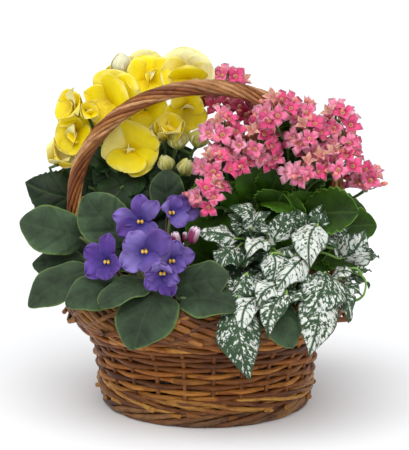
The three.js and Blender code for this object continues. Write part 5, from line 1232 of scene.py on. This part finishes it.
# Leaves: stem, base, tip, facing, width, arch
KALANCHOE_LEAVES = [
    (1, (92, -40, 192), (143, -74, 204), (10, 30), 44, 5),
    (1, (104, -28, 176), (166, -34, 184), (12, 25), 36, 5),
    (0, (54, -24, 206), (86, -48, 200), (0, 60), 20, 4),
    (0, (70, -24, 214), (96, -52, 190), (-10, 15), 16, 3),
    (1, (78, 14, 254), (77, 15, 290), (0, 10), 24, 2),
    (2, (112, 42, 188), (168, 60, 178), (60, 40), 40, 5),
    (2, (72, 92, 186), (92, 148, 168), (165, 40), 44, 6),
    (2, (110, 74, 176), (150, 114, 160), (130, 40), 42, 6),
    (0, (38, 86, 190), (20, 140, 176), (-175, 40), 42, 6),
    (0, (14, 6, 214), (-12, -6, 196), (-5, 25), 28, 3),
    (1, (70, 6, 206), (96, -10, 236), (0, 20), 34, 4),
    (0, (44, 4, 206), (60, -6, 240), (0, 15), 32, 3),
    (0, (34, -8, 196), (22, -26, 224), (-5, 25), 30, 3),
    (0, (40, 8, 180), (66, -30, 190), (0, 50), 34, 4),
    (1, (92, 14, 200), (128, 10, 222), (10, 25), 34, 4),
    (2, (70, 50, 214), (52, 44, 252), (0, 15), 34, 4),
    (0, (22, 12, 232), (30, 10, 262), (0, 10), 26, 2),
    (0, (20, 2, 190), (-14, -14, 160), (-5, 30), 44, 4),
    (0, (30, 0, 176), (26, -28, 138), (0, 35), 46, 4),
    (0, (40, 0, 190), (64, -24, 158), (5, 30), 46, 4),
    (1, (88, -8, 178), (112, -34, 148), (10, 30), 46, 4),
    (1, (80, 6, 200), (54, -6, 226), (0, 20), 44, 4),
    (1, (84, 0, 214), (110, 0, 248), (5, 15), 40, 4),
    (2, (60, 56, 190), (14, 46, 210), (0, 25), 46, 4),
    (2, (96, 52, 196), (134, 40, 232), (5, 20), 40, 4),
    (0, (16, -26, 138), (-22, -50, 164), (-5, 35), 42, 4),
    (0, (34, -30, 134), (14, -60, 164), (0, 35), 44, 4),
    (1, (64, -20, 190), (74, -40, 216), (0, 25), 40, 4),
    (1, (92, -20, 186), (104, -40, 216), (5, 25), 40, 4),
    (1, (74, 6, 236), (84, 4, 276), (0, 10), 34, 3),
    (1, (90, 0, 232), (112, 2, 266), (5, 10), 36, 3),
    (0, (34, 8, 222), (22, 12, 262), (0, 10), 36, 3),
    (0, (46, 4, 222), (56, 4, 262), (0, 10), 34, 3),
    (0, (16, -10, 196), (-6, -22, 216), (-5, 20), 34, 3),
    (2, (102, 12, 176), (122, -14, 134), (5, 25), 46, 4),
    (2, (122, 12, 176), (146, -12, 134), (15, 25), 44, 4),
    (1, (76, -28, 184), (74, -44, 154), (0, 20), 34, 3),
    (2, (76, 92, 158), (80, 138, 112), (180, 45), 48, 6),
    (2, (48, 92, 152), (26, 136, 108), (190, 40), 46, 6),
    (2, (96, 76, 152), (132, 108, 112), (140, 40), 46, 6),
    (2, (106, 56, 160), (146, 62, 122), (95, 40), 46, 6),
    (0, (50, -14, 208), (42, -26, 240), (-5, 20), 34, 3),
    (0, (60, -14, 206), (72, -28, 238), (5, 20), 34, 3),
    (1, (98, -36, 186), (90, -54, 158), (0, 25), 40, 3),
]
# Heads: (stem, way the stalk takes, its fork, reach of the head, florets and buds as azimuth, elevation)
KALANCHOE_HEADS = {
    "behind_arch": (2, [(40, 48, 250)], (22, 40, 290), 20, [(0, 15), (-50, 40), (45, 45), (180, 40)],
        [(0, 80)]),
    "top": (1, [(80, -24, 250)], (68, -30, 284), 19, [(-50, 15), (0, 5), (50, 20), (-20, 50), (40, 62)],
        [(-80, 45), (0, 88)]),
    "centre": (0, [(20, -12, 236)], (16, -14, 264), 18, [(-55, 5), (0, 0), (50, 10), (-25, 45), (35, 50)],
        [(180, 40), (0, 85)]),
    "low_centre": (0, [(44, -18, 232)], (50, -28, 254), 19,
        [(-60, 5), (-10, 0), (45, 5), (-30, 42), (30, 45)], [(0, 82)]),
    "upper_right": (1, [(92, -24, 240)], (97, -30, 262), 18,
        [(-50, 10), (5, 5), (55, 15), (-15, 48), (50, 55)], [(0, 85)]),
    "far_right": (2, [(118, 40, 232), (132, 8, 254)], (127, -14, 271), 19,
        [(-60, 10), (-10, 5), (45, 8), (-35, 50), (25, 50), (90, 40)], [(0, 85)]),
    "right": (1, [(104, -18, 222)], (128, -34, 234), 19, [(-55, 10), (-5, 5), (50, 8), (-25, 50), (35, 50)],
        [(80, 45)]),
    "low_right": (1, [(92, -24, 222)], (96, -42, 230), 17, [(-50, 5), (0, 10), (50, 5), (0, 50)], []),
    "left": (0, [(18, -20, 220)], (10, -34, 232), 18, [(-60, 8), (-10, 5), (45, 8), (-35, 48), (20, 48)],
        [(0, 85)]),
    "low_left": (0, [(16, -30, 200)], (2, -50, 206), 17, [(-45, 15), (20, 10), (-10, 50), (40, 60)],
        [(-80, 10), (-80, 50)]),
    "sprig": (2, [(122, 30, 196), (142, 8, 202)], (158, -8, 216), 15, [(-50, 5), (10, 10), (-10, 55)],
        [(50, 30), (70, -5), (40, 70)]),
    "back": (2, [(84, 70, 224)], (84, 78, 236), 20,
        [(120, 20), (180, 15), (-120, 20), (150, 60), (-150, 60)], [(0, 88)]),
    # heads between these, each built with the one named last
    "above_the_arch": (2, [(36, 50, 260)], (20, 46, 304), 17, [(-65, 25), (-20, 45), (40, 35), (80, 20)],
        [(0, 60)], "behind_arch"),
    "inner_left": (0, [(22, -10, 220)], (20, -20, 248), 14, [(-40, 5), (20, 5)], [(60, 20)], "left"),
    "inner_centre": (0, [(48, -14, 222)], (60, -24, 242), 13, [(-30, 5), (30, 10)], [(0, 60)], "low_centre"),
    "inner_right": (1, [(96, -16, 220)], (112, -26, 248), 15, [(-30, 5), (30, 10)], [(0, 60)], "right"),
    "beside_right": (1, [(104, -14, 226)], (130, -24, 254), 15, [(-30, 5), (30, 10), (80, 5)], [(0, 60)],
        "right"),
    "under_the_arch": (2, [(40, 40, 240)], (40, 26, 286), 15, [(-30, 5), (30, 10)], [(0, 60)], "behind_arch"),
    "inner_low": (0, [(30, -14, 220)], (34, -26, 238), 14, [(-30, 5), (30, 10), (0, -15)], [(0, 60)], "left"),
    "inner_top": (1, [(88, -16, 250)], (90, -20, 284), 14, [(-30, 5), (30, 10)], [(0, 60)], "upper_right"),
}
HEAD_LIFT = 8  # a head's florets stand this far above its fork


def floret(lift):
    """A floret in one skin: four pointed petals round a throat, raised by lift degrees; few faces."""
    # rings from the throat outwards: reach between two petals, at a shoulder and at a tip, and height
    rings = ((1.2, 1.2, 1.2, -0.9), (3.0, 4.9, 5.4, 0.4), (4.8, 7.4, 10.3, 0.2))
    c, d = math.cos(math.radians(lift)), math.sin(math.radians(lift))
    points, reach, edge = [(0, 0, -1.3)], [0.0], [1.0]
    for ring, (notch, shoulder, tip, height) in enumerate(rings):
        for j in range(16):
            far = (notch, shoulder, tip, shoulder)[j % 4]
            a = math.radians(22.5 * j + (0, -10, 0, 10)[j % 4])
            drop = (0.0, (0.3, 0.5, -0.9, 0.5)[j % 4], (-0.2, 1.9, -0.6, 1.2)[j % 4])[ring]
            flat = 1.2 + (far - 1.2) * c - (height + drop) * d * min(1, ring)
            points.append((flat * math.cos(a), flat * math.sin(a), (far - 1.2) * d + (height + drop) * c))
            reach.append((0.12, 0.5, (0.62, 0.93, 1.0, 0.93)[j % 4])[ring])
            edge.append((1.0, (0.3, 0.8, 1.0, 0.8)[j % 4], 0.0)[ring])
    under = [(x * 0.9, y * 0.9, z - 0.6) for x, y, z in points[33:49]] + [(0, 0, -2.4)]
    points, reach, edge = points + under, reach + reach[33:49] + [0.2], edge + [0.0] * 16 + [1.0]
    quads, threes = [], []
    for j in range(16):
        k = (j + 1) % 16
        threes += [(0, 1 + j, 1 + k), (65, 49 + k, 49 + j)]
        quads += [(ring + j, ring + 16 + j, ring + 16 + k, ring + k) for ring in (1, 17, 33)]
    across = [0.0] + [0.0012 * (j % 4 - 2) for _ in range(4) for j in range(16)] + [0.0]
    marks = {"reach": reach, "edge": edge, "across": across, "back": [0.0] * 49 + [1.0] * 17}
    return {"points": np.array(points, float), "faces": np.array(quads), "caps": np.array(threes), "finish": 0,
            "marks": {label: np.array(values) for label, values in marks.items()}}


def head_tree():
    """Copies of a floret, a cup or a bud on points, each looking its own way and of its own size."""
    tree, given, out = node_tree("flowers_on_a_head", {"Shape": "Object", "Finish": "Material"})
    shape = add(tree, "GeometryNodeObjectInfo", {"Object": given["Shape"]}, take="Geometry")
    aim = add(tree, "InputNamedAttribute", {"Name": "aim"}, data_type="FLOAT_VECTOR")
    spin = add(tree, "InputNamedAttribute", {"Name": "spin"})
    size = add(tree, "InputNamedAttribute", {"Name": "size"})
    turned = add(tree, "AlignRotationToVector", {"Vector": aim}, axis="Z")
    own = add(tree, "AxisAngleToRotation", {"Axis": (0.0, 0.0, 1.0), "Angle": spin})
    turned = add(tree, "RotateRotation", {"Rotation": turned, "Rotate By": own}, rotation_space="LOCAL")
    copies = add(tree, "InstanceOnPoints",
                 {"Points": given["Geometry"], "Instance": shape, "Rotation": turned, "Scale": size})
    tone = add(tree, "RandomValue", {"Seed": 7}, 1)
    toned = add(tree, "StoreNamedAttribute", {"Geometry": copies, "Name": "tint", "Value": tone},
                domain="INSTANCE")
    feed(tree, out, {0: dressed(tree, toned, given["Finish"])})
    return tree


def spots(places):
    """A mesh of loose points, with the aim, spin and size of what will stand on each."""
    mesh = bpy.data.meshes.new("spots")
    mesh.from_pydata([tuple(np.array(place["at"]) * MM) for place in places], [], [])
    for label in ("aim", "spin", "size"):
        mark(mesh, label, [place[label] for place in places])
    return mesh


def dome(given, extra, apart, lowest=-12):
    """The given directions and extra ones between them, spread over a dome, none closer than apart."""
    ways = [facing(*way) for way in given]
    for k in range(400):
        if len(ways) >= len(given) + extra:
            break
        low = math.sin(math.radians(lowest))
        up = low + (1 - low) * ((k * 0.618) % 1)
        turn = k * 2.39996  # the golden angle, as flowers really follow each other
        flat = math.sqrt(max(0.0, 1 - up * up))
        way = np.array([math.sin(turn) * flat, -math.cos(turn) * flat, up])
        if all(np.dot(way, other) < math.cos(math.radians(apart)) for other in ways):
            ways.append(way)
    return ways


parts = [shoot([(46, 42, 62), (46, 42, 80), (46, 42, 94)], [6.4, 6.2, 5.2], 12, 1)]
for points in KALANCHOE_STEMS:
    parts.append(shoot(points, [3.6, 3.2, 2.8, 2.3], 9, 1, 20))
for order, (stem, base, tip, *rest) in enumerate(KALANCHOE_LEAVES):
    parts.append(leaf(base, tip, *rest, (order * 0.41) % 1, KALANCHOE_OUTLINE, **KALANCHOE_FORM))
    root = on_line(KALANCHOE_STEMS[stem], 0.5 + 0.4 * order / len(KALANCHOE_LEAVES))
    parts.append(leaf_stalk(base, tip, root, 1.7))

# one of each in real size for the tree to copy; they are taken away once they have been used
shapes = [assemble(name, [shape], [], "kalanchoe_floret") for name, shape in (
    ("open_floret", floret(15)), ("half_open_floret", floret(50)),
    ("floret_cup", bead((0, 0, -7.5), (0, 0, 0.2), 2.0, (0.5, 1.0, 0.8, 0.7, 1.1), 7, tint=0.5)),
    ("floret_heart", bead((0, 0, -0.6), (0, 0, 0.9), 1.15, (0.8, 1.0, 0.6), 6, tint=0.5)),
    ("closed_bud", bead((0, 0, 0), (0, 0, 8.2), 2.5, (0.35, 0.8, 1.0, 0.95, 0.7, 0.12), 7, tint=0.5)))]
heads = head_tree()
for order, (name, (stem, route, fork, reach, florets, buds, *with_head)) in enumerate(KALANCHOE_HEADS.items()):
    node = f"kalanchoe_head_{with_head[0] if with_head else name}"
    dice = random.Random(90 + order)
    fork = np.array(fork, float)
    ways = dome(florets, 6 if len(florets) > 3 else 3, 34, -20)
    open_spots, half_spots, bud_spots, stalks = [], [], [], []
    for number, way in enumerate(ways):
        far = reach * dice.uniform(0.8, 1.12)
        centre = fork + way * far + UP * HEAD_LIFT * dice.uniform(0.7, 1.1)
        front = 0.3 if way[1] > 0.3 else 0.6
        look = unit(way + np.array([dice.uniform(-0.65, 0.65), -front, 0.4 + dice.uniform(-0.4, 0.4)]))
        (half_spots if number % 4 == 3 else open_spots).append(
            {"at": centre, "aim": look, "spin": dice.uniform(0, 1.57), "size": dice.uniform(1.1, 1.34)})
        stalks.append(shoot([fork, fork + way * far * 0.4 + UP * 3, centre - look * 7],
                            [1.0, 0.7, 0.8], 5, 0, 6))
    taken = florets + buds
    for way in [facing(*bud) for bud in buds] + dome(taken, 14, 17)[len(taken):]:
        way = unit(way + np.array([dice.uniform(-0.2, 0.2), dice.uniform(-0.2, 0.2), 0]))
        base = fork + way * reach * dice.uniform(0.7, 1.0) + UP * HEAD_LIFT * 0.8
        bud_spots.append({"at": base, "aim": unit(way + UP * 0.3), "spin": dice.uniform(0, 3),
                          "size": dice.uniform(0.7, 1.1)})
        stalks.append(shoot([fork, fork + way * reach * 0.4, base + way * 0.5], [0.8, 0.6, 0.7], 5, 0, 5))
    stalks.append(bead(fork - UP * 4, fork + UP * 2.5, 2.6, (0.7, 1.0, 0.6), 8, 0))
    assemble(f"kalanchoe_head_stalks_{name}", stalks, [kalanchoe_stalk], "kalanchoe_floret", node)
    # the heads behind and under the arch take the petal in painted shade
    pink = shaded_pink_floret if name in ("behind_arch", "under_the_arch") else floret_pink
    for label, shape, places, colour in zip(
            ("florets", "half_open", "cups", "eyes", "closed_buds"), shapes,
            (open_spots, half_spots, open_spots + half_spots, open_spots, bud_spots),
            (pink, pink, floret_peach, floret_eye, floret_peach)):
        piece = grown(f"kalanchoe_{label}_{name}", spots(places), heads, {"Shape": shape, "Finish": colour})
        settle(piece, "kalanchoe_floret", node)
    root = on_line(KALANCHOE_STEMS[stem], 0.7 + 0.28 * order / len(KALANCHOE_HEADS))
    under = fork - unit(fork - np.array(route[-1])) * 7 - UP * 2
    parts.append(shoot([root, *route, under, fork], [2.0, 1.4, 1.3, 1.7], 8, 1, 18))
assemble("kalanchoe_stems_and_leaves", parts, [kalanchoe_green, kalanchoe_stalk],
         "kalanchoe_leaf", "kalanchoe_plant")
for shape in shapes:
    bpy.data.objects.remove(shape)

# ------------------------------------------------------------------ polka-dot plant
# Slender stems that spill over the rim. The soft pointed leaves are white, with a net of dark
# bluish green that is closer on some leaves than on others; new leaves curl on bright green tips.
def splashed_leaf():
    """A thin soft leaf, matt: white blotches in a dark green net. tint says how white it is, 0 to 1."""
    material, tree, shader = finish("white_splashed_leaf")
    across, along, edge, tint = (add(tree, "Attribute", take="Fac", attribute_name=label)
                                 for label in ("across", "along", "edge", "tint"))
    place = add(tree, "TexCoord", take="Object")
    off = add(tree, "Math ABSOLUTE", {0: across})
    # blotches 3 to 4 mm across, drawn out along the side veins
    slid = add(tree, "Math MULTIPLY_ADD", {0: off, 1: -0.6, 2: along})
    wide = add(tree, "Math MULTIPLY", {0: across, 1: 200.0})
    long = add(tree, "Math MULTIPLY", {0: slid, 1: 190.0})
    own = add(tree, "Math MULTIPLY", {0: tint, 1: 97.0})
    flat = add(tree, "CombineXYZ", {0: wide, 1: long, 2: own})
    stray = add(tree, "TexNoise", {"Vector": flat, "Scale": 0.9, "Detail": 2.0}, take="Color")
    stray = add(tree, "VectorMath SUBTRACT", {0: stray, 1: (0.5, 0.5, 0.5)})
    stray = add(tree, "VectorMath SCALE", {0: stray, "Scale": 1.1})
    warped = add(tree, "VectorMath", {0: flat, 1: stray})
    net = add(tree, "TexVoronoi", {"Vector": warped, "Scale": 1.5, "Randomness": 1.0},
              feature="DISTANCE_TO_EDGE", take="Distance")
    blot = add(tree, "TexNoise", {"Vector": flat, "Scale": 1.3, "Detail": 4.0, "Roughness": 0.62})
    blot = add(tree, "Math MULTIPLY_ADD", {0: net, 1: 0.5, 2: blot})
    drift = add(tree, "TexNoise", {"Vector": flat, "Scale": 0.25, "Detail": 2.0})
    blot = add(tree, "Math MULTIPLY_ADD", {0: drift, 1: 0.3, 2: blot})
    limit = add(tree, "MapRange", {0: tint, 3: 0.825, 4: 0.63})
    rest = add(tree, "Math SUBTRACT", {0: blot, 1: limit})
    white = add(tree, "MapRange", {0: rest, 1: -0.02, 2: 0.03})
    rib = add(tree, "MapRange", {0: off, 1: 0.0005, 2: 0.0016})
    vein = add(tree, "Math PINGPONG", {0: slid, 1: 0.0055})
    vein = add(tree, "MapRange", {0: vein, 1: 0.0002, 2: 0.0008})
    vein = add(tree, "MapRange", {0: vein, 3: 0.35, 4: 1.0})
    margin = add(tree, "MapRange", {0: edge, 1: 0.02, 2: 0.12})
    for part in (rib, vein, margin):
        white = add(tree, "Math MULTIPLY", {0: white, 1: part})
    mottle = add(tree, "TexNoise", {"Vector": place, "Scale": 120.0, "Detail": 4.0})
    green = add(tree, "Mix", {0: mottle, 6: linear("#1d3424"), 7: linear("#415d3b")}, 2, data_type="RGBA")
    pale = add(tree, "Mix", {0: mottle, 6: linear("#c4cac1"), 7: linear("#e0e4dc")}, 2, data_type="RGBA")
    colour = add(tree, "Mix", {0: white, 6: green, 7: pale}, 2, data_type="RGBA")
    quilt = add(tree, "Math MULTIPLY", {0: vein, 1: rib})
    height = add(tree, "Math MULTIPLY_ADD", {0: mottle, 1: 0.4, 2: quilt})
    bump = add(tree, "Bump", {"Strength": 0.6, "Distance": 0.0006, "Height": height})
    feed(tree, shader, {"Base Color": colour, "Normal": bump, "Roughness": 0.55, "Specular IOR Level": 0.25,
                        **flesh(0.12, 3)})
    return material


polkadot_white = splashed_leaf()
# a thin juicy stalk in the plant's only plain colour, a light yellow-green
polkadot_stalk = stalk_finish("bright_green_polkadot_stalk", "#5e8a3a", "#8fb455", flesh(0.15, 2), 0.45)
POLKADOT_OUTLINE = [
    (0, 0.12), (0.04, 0.36), (0.18, 0.82), (0.38, 1.0), (0.6, 0.82), (0.8, 0.45), (0.94, 0.14), (1, 0.01)]
POLKADOT_FORM = dict(rows=34, columns=17, cup=-0.14, wave=3.0, waves=2.1, crease=1.5, thick=0.7, teeth=0.03,
                     tooth_count=9, curl=0.6, lean=1.7, fold=0.24, cup_spread=0.3)
# Stems: the line of each, and its leaves as base, tip, facing, width, arch, tint; small ones come last
POLKADOT_STEMS = {
    "upper_left": ([(28, -50, 64), (30, -56, 120), (36, -62, 160), (46, -64, 184)], [
        ((56, -62, 188), (27, -78, 212), (-5, 45), 28, 3, 0.45),
        ((30, -72, 178), (-8, -80, 186), (-10, 45), 24, 3, 0.55),
        ((32, -74, 172), (12, -104, 158), (-10, 40), 32, 4, 0.35),
        ((42, -70, 186), (56, -84, 206), (5, 40), 20, 2, 0.4),
        ((38, -66, 166), (14, -86, 170), (-10, 60), 24, 3, 0.5),
        ((44, -66, 176), (30, -92, 192), (-5, 60), 22, 3, 0.3),
        ((46, -60, 182), (34, -48, 208), (0, 40), 22, 2, 0.7),
        ((32, -62, 156), (2, -74, 150), (-10, 40), 30, 4, 0.1),
        ((36, -60, 164), (14, -62, 188), (-10, 30), 28, 3, 0.15),
        ((34, -64, 150), (20, -88, 134), (-5, 35), 28, 4, 0.2),
        ((40, -62, 178), (22, -66, 200), (0, 35), 26, 3, 0.35)]),
    "upper_middle": ([(44, -48, 64), (50, -58, 120), (60, -68, 158), (66, -70, 176)], [
        ((62, -74, 176), (74, -66, 204), (0, 30), 26, 2, 0.35),
        ((58, -78, 178), (38, -108, 172), (-5, 50), 24, 3, 0.85),
        ((74, -72, 178), (86, -62, 204), (10, 30), 22, 2, 0.6),
        ((66, -72, 166), (88, -92, 172), (15, 55), 24, 3, 0.4),
        ((58, -70, 160), (36, -92, 160), (-15, 60), 24, 3, 0.2),
        ((66, -70, 172), (52, -84, 196), (0, 60), 20, 3, 0.75),
        ((58, -66, 152), (36, -84, 142), (-10, 40), 28, 4, 0.25),
        ((62, -68, 168), (48, -66, 190), (0, 30), 28, 3, 0.1)]),
    "upper_right": ([(64, -44, 64), (82, -52, 120), (98, -62, 160), (106, -64, 186)], [
        ((106, -72, 192), (97, -112, 162), (5, 35), 36, 6, 0.92),
        ((128, -60, 156), (150, -70, 184), (20, 25), 40, 4, 0.72),
        ((140, -54, 158), (166, -60, 160), (40, 40), 18, 3, 0.3),
        ((104, -68, 176), (124, -86, 176), (25, 55), 26, 3, 0.4),
        ((98, -64, 168), (80, -92, 178), (-5, 55), 26, 3, 0.6),
        ((110, -62, 176), (134, -70, 190), (15, 45), 24, 3, 0.7),
        ((108, -60, 184), (116, -54, 210), (10, 30), 22, 2, 0.5),
        ((92, -60, 152), (74, -84, 160), (-5, 40), 28, 3, 0.2),
        ((104, -66, 180), (112, -72, 204), (5, 30), 26, 3, 0.2),
        ((98, -64, 178), (88, -70, 204), (-5, 30), 24, 3, 0.3)]),
    "middle": ([(52, -64, 64), (62, -76, 120), (72, -86, 150), (78, -88, 164)], [
        ((62, -92, 168), (59, -120, 146), (-5, 35), 30, 4, 0.7),
        ((92, -96, 166), (64, -132, 144), (0, 40), 28, 5, 0.95),
        ((78, -90, 154), (98, -112, 150), (15, 55), 24, 3, 0.4),
        ((70, -86, 150), (48, -106, 148), (-15, 60), 24, 3, 0.3),
        ((78, -92, 160), (82, -112, 164), (5, 65), 18, 2, 0.8),
        ((66, -84, 144), (52, -96, 122), (-5, 30), 28, 4, 0.15)]),
    "right": ([(68, -57, 64), (74, -60, 92), (92, -72, 118), (112, -80, 137), (132, -72, 140)], [
        ((112, -92, 150), (92, -142, 122), (5, 45), 48, 9, 0.5),
        ((122, -96, 140), (136, -116, 110), (30, 30), 26, 4, 0.35),
        ((134, -68, 138), (158, -68, 132), (20, 50), 10, 4, 0.2),
        ((132, -72, 142), (154, -84, 152), (20, 50), 10, 3, 0.2),
        ((100, -80, 130), (82, -104, 126), (-5, 60), 26, 4, 0.5),
        ((124, -84, 138), (146, -100, 132), (30, 50), 22, 3, 0.6),
        ((116, -80, 138), (136, -94, 152), (20, 55), 24, 3, 0.8),
        ((130, -74, 140), (150, -80, 142), (25, 60), 12, 3, 0.35)]),
    "front_left": ([(34, -68, 64), (36, -88, 116), (38, -102, 136), (40, -110, 142)], [
        ((38, -104, 152), (24, -130, 130), (-10, 35), 24, 4, 0.6),
        ((48, -124, 134), (33, -156, 108), (-5, 35), 24, 6, 0.95),
        ((30, -126, 134), (40, -163, 68), (0, 20), 44, 12, 0.3),
        ((38, -102, 140), (14, -116, 138), (-20, 55), 22, 3, 0.4),
        ((40, -108, 144), (58, -126, 138), (10, 55), 22, 3, 0.7)]),
    "front_middle": ([(46, -74, 64), (48, -76, 92), (56, -92, 116), (66, -106, 133), (74, -116, 139)], [
        ((70, -118, 144), (46, -142, 132), (0, 50), 26, 4, 0.9),
        ((74, -126, 138), (56, -160, 106), (0, 30), 24, 6, 0.4),
        ((72, -112, 138), (92, -130, 132), (15, 55), 22, 3, 0.5),
        ((66, -104, 136), (74, -112, 150), (5, 60), 16, 2, 0.6)]),
    "front_right": ([(62, -70, 64), (66, -72, 92), (78, -84, 117), (98, -102, 135), (110, -112, 139)], [
        ((106, -118, 138), (95, -150, 86), (10, 20), 39, 8, 0.7),
        ((104, -106, 138), (120, -126, 128), (25, 45), 22, 3, 0.6),
        ((104, -108, 138), (84, -128, 120), (-5, 45), 24, 4, 0.3)]),
}
# young shoots at the right that curl over and aren't in leaf yet
POLKADOT_TENDRILS = (
    [(126, -74, 139), (140, -78, 146), (151, -80, 140), (150, -82, 126), (142, -82, 120), (136, -82, 124)],
    [(130, -72, 140), (138, -76, 134), (137, -80, 124), (130, -82, 120), (126, -82, 126)],
    [(122, -80, 138), (134, -84, 150), (142, -86, 152), (147, -86, 146)])
for name, (line, leaves) in POLKADOT_STEMS.items():
    parts = [shoot(line, [2.2, 1.9, 1.7, 1.4], 8, 1, 22)]
    places = smooth_line(line, 40)[16:39]
    for base, tip, *rest in leaves:
        parts.append(leaf(base, tip, *rest, POLKADOT_OUTLINE, **POLKADOT_FORM))
        root = places[np.argmin(np.linalg.norm(places - np.array(base), axis=1))]
        parts.append(leaf_stalk(base, tip, root, 1.2, 7, 2.0))
    for tendril in POLKADOT_TENDRILS if name == "right" else ():
        parts.append(shoot(tendril, [1.3, 1.1, 1.0, 1.7], 7, 1, 30))
    assemble(f"polkadot_{name}", parts, [polkadot_white, polkadot_stalk], "polkadot_leaf",
             f"polkadot_stem_{name}")
